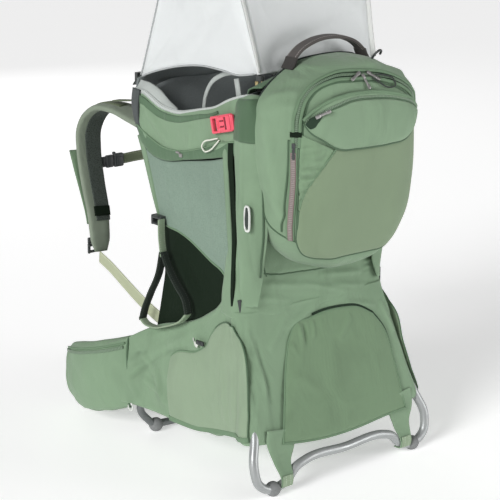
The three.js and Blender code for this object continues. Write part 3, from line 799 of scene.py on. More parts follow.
# ---- Frame --------------------------------------------------------------------------------------
MAIN_FRAME = [(-138, 104, 124), (-138, 104, 250), (-138, 106, 400), (-138, 134, 480), (-138, 164, 560),
              (-132, 179, 597), (-112, 186, 613), (0, 188, 615)]
BASE_LOOP = [(-144, -82, 312), (-141, -64, 290), (-139, -38, 258), (-139, 40, 172), (-141, 100, 108),
             (-161, 148, 72), (-173, 163, 59), (-167, 169, 44), (-152, 170, 26), (-140, 169, 15),
             (-122, 169, 12.5), (0, 169, 12.5)]
STAND = [(-154, -98, 296), (-155, -109, 260), (-164, -142, 180), (-189, -180, 98), (-202, -194, 57),
         (-195, -199, 26), (-178, -200, 14), (-150, -200, 13.5), (-132, -200, 21), (-113, -200, 39),
         (-92, -200, 46), (0, -200, 46)]
STRUT = [(-151, -102, 326), (-150, -110, 450), (-151, -119, 580), (-150, -127, 662)]

keep(pipe("back_hoop_tube", both(MAIN_FRAME), 8, M["tube"], "carrier", 180, 20), "main_frame",
    slot="frame_tube")
keep(pipe("base_loop_tube", both(BASE_LOOP), 7, M["tube_shaded"], "carrier", 220, 20), "base_loop",
    slot="frame_tube")
keep(pipe("kickstand_tube", both(STAND), 8, M["tube"], "kickstand", 240, 20), "kickstand_loop",
    slot="frame_tube")
twin(pipe, "strut_tube", STRUT, 7, M["tube"], count=48, sides=18, nodes=("rear_strut",), slot="frame_tube")


def foot_piece(x, y):
    """A rubber ball round the tube, with a flat sole and a moulded band."""
    def build(name, body):
        a = np.linspace(-1.25, 1.5, 18)
        radius = 13.4 + 0.5 * (np.abs(a) < 0.18)
        profile = [(r * math.cos(t), max(0.2, 12 + r * math.sin(t))) for r, t in zip(radius, a)]
        m = 36
        verts = [(x, y, 0.2)]
        for r, z in profile:
            verts += [(x + r * math.cos(2 * math.pi * k / m), y + r * math.sin(2 * math.pi * k / m), z)
                      for k in range(m)]
        verts.append((x, y, profile[-1][1] + 0.1))
        faces = []
        for k in range(m):
            j = (k + 1) % m
            faces.append((0, 1 + j, 1 + k))
            for i in range(len(profile) - 1):
                faces.append((1 + i * m + k, 1 + i * m + j, 1 + (i + 1) * m + j, 1 + (i + 1) * m + k))
            last = 1 + (len(profile) - 1) * m
            faces.append((last + k, last + j, len(verts) - 1))
        return joined(name, [(verts, faces)], M["rubber"], body)
    return build


keep(pair("rear_foot_ball", foot_piece(-165, -200), "kickstand"), "rear_foot", slot="rubber")
keep(pair("front_foot_ball", foot_piece(-134, 169), "carrier"), "front_foot", slot="rubber")
for node, material in (("hinge_pin", "pin"), ("pole_socket", "black"), ("sunshade_hook", "black")):
    for side in ("left", "right"):
        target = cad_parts[f"{node}_{side}"]
        target.data.materials.clear()
        target.data.materials.append(M[material])


def bracket(name, body):
    """Two cheeks and a head, hidden in the cloth at the waist corner."""
    parts = [block_part((x, -98, 301), (3.4, 30, 46), 1.6) for x in (-163, -146)]
    parts.append(block_part((-154.5, -98, 322), (17, 28, 6), 1.6))
    return joined(name, parts, M["black"], body)


keep(pair("hinge_bracket_body", bracket, "carrier"), "hinge_bracket", slot="black_plastic")


# ---- Lower compartment --------------------------------------------------------------------------
def rear_y(z):
    """Rear face of the lower compartment, leaning back towards the floor."""
    return -112 - 78 * np.clip((345 - np.asarray(z, float)) / 255, 0, 1.1)


def wider(row, left, right):
    """A half row mirrored, its corner points pushed out by left and right millimetres."""
    half = np.array(row, float)
    share = np.array([0.9, 1.0, 1.0, 0.7, 0.2, 0.0, 0.0])[:, None] * (-1.0, 0, 0)
    out = mirrored(half + share * right)[::-1]
    return np.vstack([half + share * left, out[1:]])


SHELL_ROWS = [
    ([(-150, -70, 82), (-172, -118, 86), (-194, -176, 90), (-188, -186, 92), (-150, -190, 88),
      (-100, -192, 82), (0, -193, 76)], 4, 0),
    ([(-152, -70, 100), (-171, -116, 101), (-195, -174, 102), (-187, -185, 103), (-148, -188, 101),
      (-100, -189, 100), (0, -190, 99)], 4, 0),
    ([(-153, -68, 140), (-165, -112, 141), (-184, -161, 141), (-177, -173, 141), (-144, -176, 140),
      (-98, -177, 140), (0, -178, 140)], 6, 5),
    ([(-153, -68, 182), (-162, -108, 182), (-174, -147, 182), (-166, -159, 182), (-138, -163, 182),
      (-94, -164, 182), (0, -165, 182)], 6, 7),
    ([(-153, -67, 222), (-160, -100, 222), (-168, -133, 222), (-159, -146, 222), (-130, -150, 222),
      (-90, -152, 222), (0, -153, 222)], 6, 8),
    ([(-153, -66, 257), (-159, -94, 257), (-164, -121, 257), (-154, -135, 257), (-124, -139, 257),
      (-86, -141, 257), (0, -142, 257)], 8, 8),
    ([(-153, -64, 302), (-158, -86, 303), (-159, -106, 303), (-150, -121, 303), (-118, -126, 303),
      (-80, -128, 303), (0, -129, 303)], 10, 6),
]
shell = lofted([wider(*r) for r in SHELL_ROWS], 160, 72)
folds = ripple(shell, 90, 1.3, 3) * edge_fade(shell, 0.05)
folds += ridges(shell, [
    ((-172, -150, 190), (-190, -172, 100), 3.6, 6), ((-180, -150, 150), (-194, -170, 92), 2.8, 5),
    ((-166, -110, 262), (-174, -130, 120), 3.0, 7), ((-170, -130, 222), (-182, -150, 110), 2.8, 6),
    ((-150, -150, 215), (-160, -185, 95), 2.6, 6), ((-160, -85, 262), (-164, -95, 110), 2.4, 6),
    ((-168, -96, 292), (-172, -112, 190), 2.6, 4.5), ((-158, -124, 296), (-170, -140, 205), 2.6, 5),
    ((-164, -116, 290), (-178, -146, 150), 2.2, 4), ((-130, -150, 238), (-72, -140, 292), 3.6, 9),
    ((-90, -140, 262), (0, -134, 296), 2.4, 8), ((-140, -145, 268), (-95, -138, 298), 2.4, 6),
    ((20, -140, 284), (70, -136, 298), 2.0, 6), ((60, -140, 282), (130, -135, 262), 2.6, 7),
    ((165, -150, 200), (182, -175, 110), 2.6, 6), ((150, -140, 235), (172, -165, 140), 2.4, 6),
    ((140, -135, 270), (160, -150, 210), 2.6, 6), ((152, -130, 290), (162, -140, 240), 2.2, 4),
    ((-186, -172, 150), (-170, -182, 92), 2.6, 4), ((-176, -150, 205), (-176, -176, 120), -2.6, 4),
    ((-160, -128, 275), (-150, -165, 170), 2.4, 4), ((-150, -138, 262), (-144, -172, 150), -2.2, 5),
    ((-168, -120, 258), (-160, -150, 212), 2.2, 4),
], 1.6, 0.85)
shell = lifted(shell, folds)
lower_skin = skin("lower_skin", shell, 2.2, M["sage"])


POCKET_DEPTH = 5


def arch_patch():
    """The arched lower panel, standing out from the rear face."""
    left = [(-139, 0, 86), (-120, 0, 150), (-101, 0, 212), (-88, 0, 244)]
    right = [(150, 0, 82), (144, 0, 165), (134, 0, 225), (114, 0, 254)]
    top = [left[-1], (-64, 0, 271), (-32, 0, 274), (2, 0, 278), (47, 0, 277),
           (84, 0, 271), right[-1]]
    bottom = [left[0], (-100, 0, 80), (-50, 0, 75), (0, 0, 74), (34, 0, 75), (99, 0, 80), right[0]]
    g = patch(bottom, top, left, right, 80, 60)
    g[..., 1] = rear_y(g[..., 2]) - POCKET_DEPTH
    return g


pocket = arch_patch()
puff = bulge(pocket, 9, 0.55, 0.4) + ripple(pocket, 120, 1.0, 5) * edge_fade(pocket)
puff += ridges(pocket, [
    ((-60, -140, 268), (-62, -150, 222), 3.2, 5), ((-30, -140, 270), (-34, -150, 240), 2.2, 4),
    ((-85, -150, 240), (-70, -150, 205), 2.8, 5), ((-48, -140, 270), (-52, -150, 232), -2.4, 4),
    ((-100, -160, 190), (-40, -170, 150), 2.0, 14), ((-118, -170, 160), (-90, -175, 110), 2.0, 8),
    ((60, -140, 262), (20, -150, 225), 2.0, 8), ((-80, -170, 140), (60, -180, 110), 1.8, 16),
    ((96, -140, 250), (70, -150, 205), 2.0, 7),
], 1.5, 0.8)
pocket = lifted(pocket, puff)
arch_pocket = skin("arch_pocket_panel", pocket, 2.0, M["pocket"])
top_line = on_grid(pocket, [(u, 1.0) for u in np.linspace(0, 1, 60)])
left_line = on_grid(pocket, [(0.0, v) for v in np.linspace(0, 1, 40)])
right_line = on_grid(pocket, [(1.0, v) for v in np.linspace(1, 0, 40)])
rim_line = np.vstack([left_line, top_line[1:], right_line[1:]])
# Painted shadow: a dark tube along the right part of the pocket's top rim and down its right side.
arch_shadow = pipe("arch_pocket_shadow_line", rim_line[60:] + (0, 1.5, 2.5), 2.0, M["shadow_green"], None, 160)
arch_hem = pipe("arch_pocket_hem", rim_line + (0, -0.5, -1.0), 1.5, M["trim_sage"], None, 200)
hem_line = on_grid(pocket, [(u, 0.0) for u in np.linspace(0, 1, 80)])
bottom_hem = pipe("arch_pocket_bottom_hem", hem_line, 2.2, M["trim_sage"], None, 100)
for piece in (arch_pocket, arch_shadow, arch_hem, bottom_hem):
    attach(piece, "kickstand")
keep(arch_pocket, "rear_panel", slot="khaki_fabric")
keep(lower_skin, "gusset_left", "gusset_right", slot="sage_fabric")


def tab(name, top_left, top_right, tip, body="kickstand"):
    """A triangular tab from the hem down round the floor tube."""
    tl, tr, end = np.array(top_left, float), np.array(top_right, float), np.array(tip, float)
    half = 12.5
    mid = [(tl[0] * 0.35 + (end[0] - half) * 0.65, -198, (tl[2] + end[2]) / 2),
           (tr[0] * 0.35 + (end[0] + half) * 0.65, -198, (tr[2] + end[2]) / 2)]
    rows = [
        [(end[0] - half, -192, end[2] - 10), (end[0] + half, -192, end[2] - 10)],
        [(end[0] - half, -209, end[2] - 7), (end[0] + half, -209, end[2] - 7)],
        [(end[0] - half, -211, end[2] + 3), (end[0] + half, -211, end[2] + 3)],
        mid,
        [tl + (0, -1, 0), tr + (0, -1, 0)],
        [tl + (3, 2, 22), tr + (-3, 2, 22)],
    ]
    g = lofted(rows, 16, 34)
    g = lifted(g, ripple(g, 40, 0.5, 8))
    return skin(name, g, 1.8, M["sage"], body)


keep(tab("hem_tab_left", (-172, -192, 92), (-112, -194, 84), (-141, -206, 20)), slot="sage_fabric")
keep(tab("hem_tab_right", (112, -194, 84), (172, -192, 92), (141, -206, 20)), slot="sage_fabric")
for side in (-1, 1):
    g = [(side * 141, -210.5, 14), (side * 141, -212.5, 24), (side * 141, -211.5, 34)]
    keep(strap("hem_tab_end_" + ("left" if side < 0 else "right"), g, 23, 1.6, M["strap_sage"], "kickstand"))


# Waist between the pack and the lower compartment: gathered cloth with sideways folds.
WAIST_ROWS = [
    ([(-154, -62, 292), (-159, -85, 292), (-161, -104, 292), (-152, -121, 291), (-120, -128, 291),
      (-70, -131, 291), (0, -132, 291)], 11, 7),
    ([(-153, -60, 330), (-157, -84, 330), (-158, -100, 330), (-150, -115, 329), (-114, -120, 329),
      (-64, -122, 329), (0, -123, 329)], 8, 4),
    ([(-152, -60, 352), (-156, -84, 352), (-157, -98, 352), (-148, -112, 350), (-110, -116, 350),
      (-60, -118, 350), (0, -119, 350)], 5, 1),
    ([(-152, -62, 392), (-157, -86, 392), (-159, -100, 392), (-152, -114, 391), (-112, -124, 390),
      (-60, -130, 388), (0, -132, 386)], 1, -2),
    ([(-152, -64, 440), (-157, -88, 440), (-159, -104, 440), (-154, -120, 440), (-116, -136, 432),
      (-60, -139, 424), (0, -139, 420)], -3, -4),
]
waist = lofted([wider(*r) for r in WAIST_ROWS], 140, 60)
folds = ripple(waist, 70, 1.1, 11) * edge_fade(waist, 0.06)
folds += ridges(waist, [
    ((-33, -120, 331), (65, -126, 300), 4.0, 6), ((-120, -118, 345), (-10, -120, 322), 3.2, 7),
    ((-100, -120, 365), (40, -120, 352), 3.0, 7), ((10, -120, 340), (110, -120, 326), 3.6, 6),
    ((30, -124, 318), (120, -124, 300), 3.2, 6), ((-140, -118, 325), (-60, -124, 306), 2.8, 7),
    ((-60, -120, 375), (60, -120, 370), 2.6, 7), ((-150, -110, 372), (-146, -112, 300), 2.6, 6),
    ((-166, -98, 420), (-168, -104, 330), 2.4, 5), ((-158, -116, 400), (-162, -118, 340), 2.2, 5),
], 1.3, 0.9)
for k in range(7):
    z = 284 + 10 * k
    folds += ridge(waist, (112, -120, z - 3), (160, -112, z + 2), 3.0, 3.0)
waist = lifted(waist, folds)
waist_piece = keep(skin("waist_skin", waist, 2.2, M["sage"], "carrier"), slot="sage_fabric")
bpy.context.view_layer.update()


WAIST_SEAM = [(-160, -108, 372), (-150, -120, 371), (-122, -124, 364), (-104, -125, 359), (-41, -127, 350),
              (10, -127, 348), (53, -126, 350), (104, -122, 353), (140, -116, 354), (154, -104, 356)]
keep(pipe("waist_seam_piping", near(waist_piece, spline(WAIST_SEAM, 120), 0.6), 1.4, M["trim_deep"],
    "carrier", 160))


# ---- Sides --------------------------------------------------------------------------------------
def hug(grid, obj, gap, rear=-60.0):
    """Pushes a left side grid outwards to clear a piece by gap, wherever it lies behind rear."""
    tree = BVHTree.FromObject(obj, bpy.context.evaluated_depsgraph_get())
    out = grid.copy()
    for index in np.ndindex(grid.shape[:2]):
        p = grid[index]
        if p[1] < rear:
            start = metres([(-400, p[1], p[2])])[0]
            hit = tree.ray_cast(Vector(start), Vector((1, 0, 0)))[0]
            if hit is not None:
                out[index][0] = min(p[0], hit.x * 1000 - gap)
    return out


bpy.context.view_layer.update()
LOWER_BOTTOM = [(-196, 192, 66), (-182, 166, 62), (-168, 128, 57), (-162, 87, 54), (-159, 58, 55),
    (-158, 2, 57), (-158, -52, 61), (-160, -80, 76)]
LOWER_TOP = [(-186, 184, 188), (-170, 162, 203), (-155, 128, 221), (-152, 68, 240), (-152, 16, 259),
    (-153, -18, 279), (-156, -48, 300), (-158, -64, 321), (-160, -74, 346)]
lower = patch(LOWER_BOTTOM, LOWER_TOP, [(-196, 192, 66), (-199, 194, 107), (-197, 193, 146),
    (-186, 184, 188)], [(-160, -80, 76), (-162, -82, 200), (-162, -80, 290), (-160, -74, 346)], 84, 64)
puff = bulge(lower, 8, 0.5, 0.5) + ripple(lower, 80, 1.4, 21) * edge_fade(lower)
puff += ridges(lower, [
    ((-182, 173, 113), (-164, 98, 178), -4.0, 6), ((-164, 98, 178), (-162, 28, 206), -4.0, 6),
    ((-184, 178, 140), (-164, 92, 194), 4.0, 7), ((-164, 92, 194), (-161, 0, 246), 4.0, 7),
    ((-166, 110, 200), (-161, 20, 240), -3.0, 5), ((-163, 60, 226), (-160, -40, 284), 3.0, 6),
    ((-166, 120, 150), (-165, 96, 80), 3.0, 8), ((-186, 184, 120), (-176, 160, 80), 2.4, 7),
    ((-160, -20, 262), (-160, -60, 310), 2.4, 6), ((-180, 165, 185), (-166, 120, 130), 2.2, 6),
    ((-166, 140, 196), (-160, 100, 214), 2.4, 5), ((-178, 168, 160), (-162, 60, 216), -3.2, 4),
    ((-172, 150, 120), (-164, 100, 100), 2.2, 6), ((-164, 80, 200), (-160, 10, 236), 2.4, 4),
], 1.4, 0.85)
lower = lifted(lower, puff)
LOWER_PIECES = pair("side_lower_panel", lambda n, b: skin(n, lower, 2.0, M["sage"], b), (None, None))
keep(LOWER_PIECES, "lower_side", slot="sage_fabric")

POCKET_TOP = [(-166, 85, 172), (-166, 61, 189), (-166, 1, 206), (-165, -24, 224), (-165, -36, 245),
    (-164, -54, 266), (-165, -82, 279), (-170, -106, 278)]
POCKET_BOTTOM = [(-166, 84, 56), (-166, 58, 57), (-165, 2, 60), (-165, -40, 68), (-172, -100, 80),
    (-197, -178, 98)]
side_pocket = patch(POCKET_BOTTOM, POCKET_TOP, [(-166, 84, 56), (-168, 88, 100), (-168, 88, 140),
    (-166, 85, 172)], [(-197, -178, 98), (-190, -165, 150), (-182, -154, 193), (-178, -142, 240),
    (-170, -106, 278)], 76, 56)
puff = bulge(side_pocket, 9, 0.4, 0.4) + ripple(side_pocket, 80, 1.0, 31) * edge_fade(side_pocket)
puff += ridges(side_pocket, [
    ((-175, -40, 225), (-175, -60, 90), 3.4, 7), ((-175, -62, 250), (-175, -90, 100), 3.0, 7),
    ((-175, -50, 235), (-175, -74, 96), -2.4, 6), ((-175, -92, 262), (-178, -120, 110), 2.6, 7),
    ((-175, -10, 200), (-175, 10, 90), 2.0, 9), ((-178, -118, 250), (-180, -136, 120), -2.0, 6),
])
side_pocket = hug(lifted(side_pocket, puff), lower_skin, 3.2)
POCKETS = [*pair("side_pocket_panel", lambda n, b: skin(n, side_pocket, 1.8, M["khaki"], b), (None, None))]
pocket_rim = on_grid(side_pocket, [(u, 1.0) for u in np.linspace(0, 0.72, 50)], -0.3)
POCKETS += pair("side_pocket_rim", lambda n, b: pipe(n, pocket_rim, 2.0, M["trim_sage"], b, 70), (None, None))
pocket_arch = np.vstack([on_grid(side_pocket, [(u, 1.0) for u in np.linspace(0.5, 1.0, 30)], 0.4),
                         on_grid(side_pocket, [(1.0, v) for v in np.linspace(0.98, 0, 50)], 0.4)])
POCKETS += pair("side_pocket_piping", lambda n, b: pipe(n, pocket_arch, 1.3, M["trim_deep"], b, 110),
    (None, None))
pocket_foot = on_grid(side_pocket, [(u, 0.02) for u in np.linspace(0, 1, 60)], 0.8)
POCKETS += pair("side_pocket_hem", lambda n, b: strap(n, pocket_foot, 9, 2.2, M["trim_sage"], b,
    across=(0, 0, 1), count=80), (None, None))
for piece in POCKETS:
    tuple(metres((0, -74, 200)))
    tuple(metres((0, -140, 200)))
    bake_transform(piece)
for piece, body in zip(LOWER_PIECES, HIPS):
    tuple(metres((0, 128, 120)))
    tuple(metres((0, 190, 120)))
    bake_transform(piece)
clasp = [block_part((-171.5, -12, 225), (4, 20, 8), 1.4), block_part((-173.5, -12, 225), (2, 8, 4), 0.8)]
twin(joined, "side_pocket_clasp", clasp, M["black"])
web = sweep_part(spline([(-169, 8, 228), (-172, 2, 222), (-172, -6, 217)], 24), 7, 1.8, (0, 0.5, 1), 0.4, 12)
twin(joined, "side_pocket_web", [web], M["white_tape"])


# Upper side: rim panel above, netting below it.
RIM = [(-127, 675), (-96, 668), (-65, 657), (-31, 641), (2, 633), (37, 624), (65, 618), (93, 618), (122, 622),
       (145, 631), (165, 639), (194, 640)]
SEAM = [(-116, 575), (-53, 559), (37, 540), (106, 528), (136, 531), (173, 552)]
SEAM_HIGH = [(-116, 596), (-60, 586), (0, 566), (60, 552), (106, 552), (140, 562), (180, 580)]


def side_line(rows, x):
    """Points (y, z) on a plane of constant x, from front to back."""
    return [(x, y, z) for y, z in rows[::-1]]


upper = patch(side_line(SEAM, -153), side_line(RIM, -151), [(-153, 173, 552), (-152, 190, 576),
    (-151, 194, 603), (-151, 194, 640)], None, 90, 40)
shelf = bulge(upper, 5, 0.4, 0.5) + ripple(upper, 80, 1.0, 41) * edge_fade(upper)
shelf += ridges(upper, [
    ((-155, 180, 628), (-155, 90, 560), 2.8, 8), ((-155, 60, 612), (-155, -60, 640), 2.0, 9),
    ((-155, -20, 560), (-155, -90, 600), 2.2, 8), ((-155, 170, 610), (-155, 100, 604), -2.2, 8),
    ((-155, 30, 600), (-155, 30, 560), 1.6, 7), ((-155, 186, 600), (-155, 150, 556), 2.2, 6),
], 1.5, 0.85)
upper = lifted(upper, shelf)
twin(skin, "cockpit_side_panel", upper, 2.4, M["sage"], nodes=("upper_side",), slot="sage_fabric")
band = patch(side_line(SEAM, -156.5), side_line(SEAM_HIGH, -157.5), None, None, 80, 8)
band = lifted(band, bulge(band, 2, 0.4, 0.5) + ripple(band, 60, 0.5, 43) * edge_fade(band))
twin(skin, "side_pocket_opening_band", band, 1.6, M["sage_dark"])
band_edge = on_grid(band, [(u, 1.0) for u in np.linspace(0, 1, 70)], 0.6)
twin(pipe, "side_pocket_opening_edge", band_edge, 1.5, M["trim_sage"], count=100)
rim_path = on_grid(upper, [(u, 1.0) for u in np.linspace(0, 1, 80)], -1.5)
twin(strap, "cockpit_rim_binding", rim_path, np.interp(np.linspace(0, 1, 20), [0, 0.3, 0.6, 1],
    [9, 10, 7, 5]), 5, M["trim_light"], across=(0.25, 0, 1), count=100, power=0.7)
# Painted shade: a darker band just under the rim binding.
shade_path = on_grid(upper, [(u, 0.86) for u in np.linspace(0.02, 0.75, 80)], 0.6)
twin(strap, "cockpit_rim_facing", shade_path, [15, 14, 10, 5], 1.6, M["sage_dark"], across=(0, 0, 1),
    count=90)
FRONT_TRIM = [(-154, 184, 643), (-156, 186, 620), (-156, 183, 592), (-155, 174, 566)]
twin(strap, "cockpit_front_trim", FRONT_TRIM, [22, 20, 14, 6], 4, M["grey"], across=(0, 1, 0), count=50)

MESH_BOTTOM = [(-66, 347), (-50, 360), (-23, 370), (10, 385), (38, 397), (72, 406), (100, 409), (118, 414),
               (129, 442), (138, 468), (151, 516)]
SEAM_MESH = [(-70, 563), (-53, 557), (37, 538), (106, 527), (136, 529), (164, 540)]
net = patch(side_line(MESH_BOTTOM, -152), side_line(SEAM_MESH, -153), None,
            [(-152, -66, 347), (-153, -76, 440), (-153, -72, 520), (-153, -70, 563)], 76, 56)
net_lift = bulge(net, 4.0, 0.5, 0.5) + ripple(net, 70, 1.0, 51) * edge_fade(net)
net_lift += ridges(net, [
    ((-152, 120, 530), (-152, 60, 420), 1.6, 9), ((-152, -20, 545), (-152, -40, 380), 1.4, 9),
    ((-152, 60, 535), (-152, 20, 400), -1.2, 9),
], 1.6)
net = lifted(net, net_lift)
twin(skin, "side_net_panel", net, 1.6, M["mesh"], nodes=("mesh_side",), slot="side_mesh")
net_edge = on_grid(net, [(u, 0.0) for u in np.linspace(0, 1, 80)])
twin(pipe, "side_net_edge", net_edge, 2.0, M["trim_sage"], count=90)
FRONT_BORDER = [(-153, 178, 562), (-153, 164, 530), (-153, 150, 490), (-153, 138, 455), (-153, 124, 420)]
twin(strap, "side_front_border", FRONT_BORDER, [14, 14, 11, 8, 5], 3, M["sage"], across=(0, 1, 0.3), count=60)
SLOT_FRONT = [(-156, -64, 590), (-157, -68, 540), (-157, -73, 480), (-157, -78, 420), (-157, -84, 370),
              (-157, -87, 325)]
twin(strap, "slot_front_border", SLOT_FRONT, [14, 14, 13, 13, 14, 12], 4, M["sage"], across=(0, 1, 0),
    count=60, power=0.7)

# A dark sheet inside the netting and the leg opening: painted shade, where the opening lies in shadow.
SHADE_SHEET_LOW = [(-148, 140, 214), (-148, 68, 236), (-148, 16, 254), (-148, -30, 280), (-148, -80, 320)]
SHADE_SHEET_TOP = [(-148, 124, 446), (-148, 90, 446), (-148, 40, 446), (-148, -20, 446), (-148, -80, 446)]
opening_shade = patch(SHADE_SHEET_LOW, SHADE_SHEET_TOP, [(-148, 140, 214), (-148, 122, 286), (-148, 114, 325), (-148, 117, 361),
                                     (-148, 124, 446)], None, 50, 40)
opening_shade = lifted(opening_shade, ripple(opening_shade, 70, 1.2, 53) * edge_fade(opening_shade)
               + ridge(opening_shade, (-148, 60, 380), (-148, -20, 300), 3, 10)
               + ridge(opening_shade, (-148, 90, 330), (-148, 40, 260), -3, 10))
opening_shade[..., 0] -= 1.5
twin(skin, "leg_opening_liner", opening_shade, 1.2, M["black_cloth"])

# Sleeve: the upright band of cloth behind the slot, over the rear strut and back to the pack.
SLEEVE_ROWS = [
    [(-152, -96, 312), (-156, -102, 312), (-158, -110, 312), (-154, -120, 312), (-140, -130, 312)],
    [(-156, -104, 352), (-162, -108, 352), (-163, -114, 352), (-156, -123, 352), (-128, -129, 352)],
    [(-157, -103, 400), (-163, -108, 400), (-165, -116, 400), (-160, -127, 400), (-138, -146, 400)],
    [(-157, -100, 430), (-164, -107, 430), (-166, -118, 430), (-162, -132, 430), (-140, -154, 430)],
    [(-157, -96, 493), (-164, -104, 493), (-167, -118, 493), (-164, -134, 493), (-144, -160, 493)],
    [(-157, -91, 550), (-164, -100, 550), (-168, -118, 550), (-165, -136, 550), (-148, -162, 550)],
    [(-157, -90, 600), (-164, -100, 600), (-168, -120, 600), (-166, -138, 600), (-150, -162, 600)],
    [(-156, -93, 640), (-162, -104, 640), (-167, -122, 640), (-165, -138, 640), (-150, -158, 640)],
    [(-152, -98, 662), (-158, -106, 665), (-163, -124, 668), (-162, -137, 670), (-148, -142, 670)],
    [(-144, -104, 668), (-148, -112, 672), (-151, -124, 676), (-150, -135, 677), (-140, -140, 674)],
]
sleeve = lofted(SLEEVE_ROWS, 36, 90)
lift = ripple(sleeve, 60, 0.8, 61)
lift += ridges(sleeve, [
    ((-168, -122, 640), (-166, -116, 440), 2.4, 5), ((-164, -102, 560), (-164, -106, 380), 1.8, 5),
    ((-166, -130, 470), (-150, -134, 360), -2.0, 5),
])
sleeve = lifted(sleeve, lift)
twin(skin, "strut_sleeve", sleeve, 1.8, M["sage"], slot="sage_fabric")
# The flap's darker cloth is painted shade.
flap_grid = sleeve[:, 70:88]
flap_grid = lifted(flap_grid, 2.2 + ripple(flap_grid, 50, 0.6, 63))[3:]
twin(skin, "sleeve_top_flap", flap_grid, 1.6, M["sage_shade"])
# Painted shadow: a dark tube down the sleeve's rear edge, where it meets the pack.
sleeve_shadow_line = on_grid(sleeve, [(0.9, v) for v in np.linspace(0.14, 0.93, 60)], 0.6)
twin(pipe, "sleeve_rear_fold", sleeve_shadow_line, 1.8, M["sage_shade"], count=90)
# Painted shadow: a black strip laid down the slot between the sleeve and the side.
SLOT = [(-157.5, -82, 590), (-157.5, -81, 552), (-157.5, -84, 527), (-157.5, -87, 493), (-157.5, -90, 459),
        (-159.5, -92, 425), (-162.5, -94, 390), (-165.5, -95, 355), (-167.5, -96, 322), (-168, -97, 300)]
twin(strap, "side_slot_gap", SLOT, [14, 14, 12, 11, 10, 10, 10, 9, 8, 4], 3.0, M["black_cloth"],
    across=(0, 1, 0), count=70)
ring_parts = [sweep_part(np.array([(-169.0, -137 + 6.0 * math.copysign(abs(math.cos(a)) ** 0.6, math.cos(a)),
                                    472 + 21 * math.copysign(abs(math.sin(a)) ** 0.6, math.sin(a)))
                                   for a in np.linspace(0, 2 * math.pi, 41)]), 4, 4, None, 1.0, 10)]
twin(joined, "sleeve_ring", ring_parts, M["white"])
RING_FILL = [(-168.5, -138, 490), (-169.5, -137, 472), (-168.5, -136, 456)]
sleeve_edge = [(-160, -130, 450), (-150, -134, 432), (-141, -134, 408), (-128, -131, 380), (-119, -128, 362)]
twin(pipe, "sleeve_rear_seam", sleeve_edge, 1.3, M["trim_deep"], count=50)
twin(strap, "sleeve_ring_web", RING_FILL, 9, 3, M["strap_black"], across=(0, 1, 0), count=24)


# Cockpit back wall, lining and wearer's back panel.
def torso_y(z):
    """How far forward the wearer's back panel is at height z."""
    return 118 + 0.34 * max(0.0, z - 400)


lining_rows = []
for share in (0.0, 0.35, 0.7, 1.0):
    half = []
    for x, y, top in ((0, 176, 652), (-100, 175, 652), (-132, 166, 644), (-142, 132, 626), (-143, 57, 618),
                      (-143, 0, 632), (-143, -60, 652), (-140, -98, 668), (-110, -106, 676), (0, -107, 676)):
        z = 300 + (top - 300) * share
        half.append((x, min(y, torso_y(z) + (y - 176) - 10) if y > 110 else y, z))
    half = np.array(half, float)
    lining_rows.append(np.vstack([half, mirrored(half)[::-1][1:]]))
lining = lofted(lining_rows, 120, 40)
lining = lining + ripple(lining, 90, 1.4, 71)[..., None] * normals(lining)
keep(joined("cockpit_lining", [skin_part(lining, 2.0, around=True)], M["cockpit"], "carrier"), "cockpit_back",
     slot="grey_fabric")

# Grey front wall that rises under the sunshade, and the light guard folded over its corner.
wall = lofted([[(-150, 178, 610), (-120, 184, 610), (0, 186, 612), (120, 184, 610), (150, 178, 610)],
               [(-149, 190, 640), (-120, 192, 644), (0, 194, 646), (120, 192, 644), (149, 190, 640)],
               [(-146, 190, 660), (-118, 190, 667), (0, 190, 672), (118, 190, 667), (146, 190, 660)]], 90, 22)
wall = lifted(wall, ripple(wall, 70, 1.4, 73) * edge_fade(wall))
keep(skin("cockpit_front_wall", wall, 2.6, M["cockpit"], "carrier"))
GUARD_OUT = [(-150, 192, 641), (-149, 166, 640), (-148, 141, 632), (-148, 113, 622), (-148, 72, 619)]
GUARD_IN = [(-140, 190, 657), (-137, 162, 654), (-136, 136, 645), (-138, 110, 631), (-140, 84, 621)]
guard = patch(GUARD_OUT, GUARD_IN, None, None, 40, 12)
guard = lifted(guard, bulge(guard, 2.5, 0.5, 0.6) + ripple(guard, 40, 0.7, 77) * edge_fade(guard))
twin(skin, "corner_guard", guard, 2.0, M["light_cloth"])
shelf_top = lofted([[(-144, -108, 672), (-100, -107, 678), (0, -107, 678), (100, -107, 678),
    (144, -108, 672)], [(-146, -122, 684), (-102, -124, 698), (0, -126, 706), (102, -124, 698),
    (146, -122, 684)], [(-138, -138, 686), (-100, -134, 702), (0, -138, 722), (100, -134, 702),
    (138, -138, 686)]], 80, 16)
shelf_top = lifted(shelf_top, ripple(shelf_top, 50, 0.8, 79) * edge_fade(shelf_top))
keep(skin("pack_front_shelf", shelf_top, 2.0, M["sage_dark"], "carrier"))
post = [sweep_part(spline([(-139, -84, 640), (-139, -80, 668), (-139, -74, 694)], 20), 20, 3, (0.3, 1, 0),
    0.4, 12)]
twin(joined, "sunshade_tension_tab", post, M["light_cloth"])
screw = [block_part((-129, -114, 690), (2.5, 8, 8), 1.2), block_part((-122, -122, 690), (8, 2.5, 8), 1.2)]
twin(joined, "pole_socket_screw", screw, M["brass"])

back_rows = []
for z in (250, 320, 400, 470, 540, 600):
    y = torso_y(z)
    back_rows.append([(130, y - 6, z), (122, y + 2, z), (60, y + 5, z), (0, y + 3, z), (-60, y + 5, z),
                      (-122, y + 2, z), (-130, y - 6, z)])
panel = lofted(back_rows, 60, 60)
panel = lifted(panel, ripple(panel, 60, 0.8, 81) + ridge(panel, (0, 140, 260), (0, 180, 600), -3, 14))
keep(skin("wearer_back_panel", panel, 7.0, M["air"], "carrier"), "back_panel", slot="side_mesh")


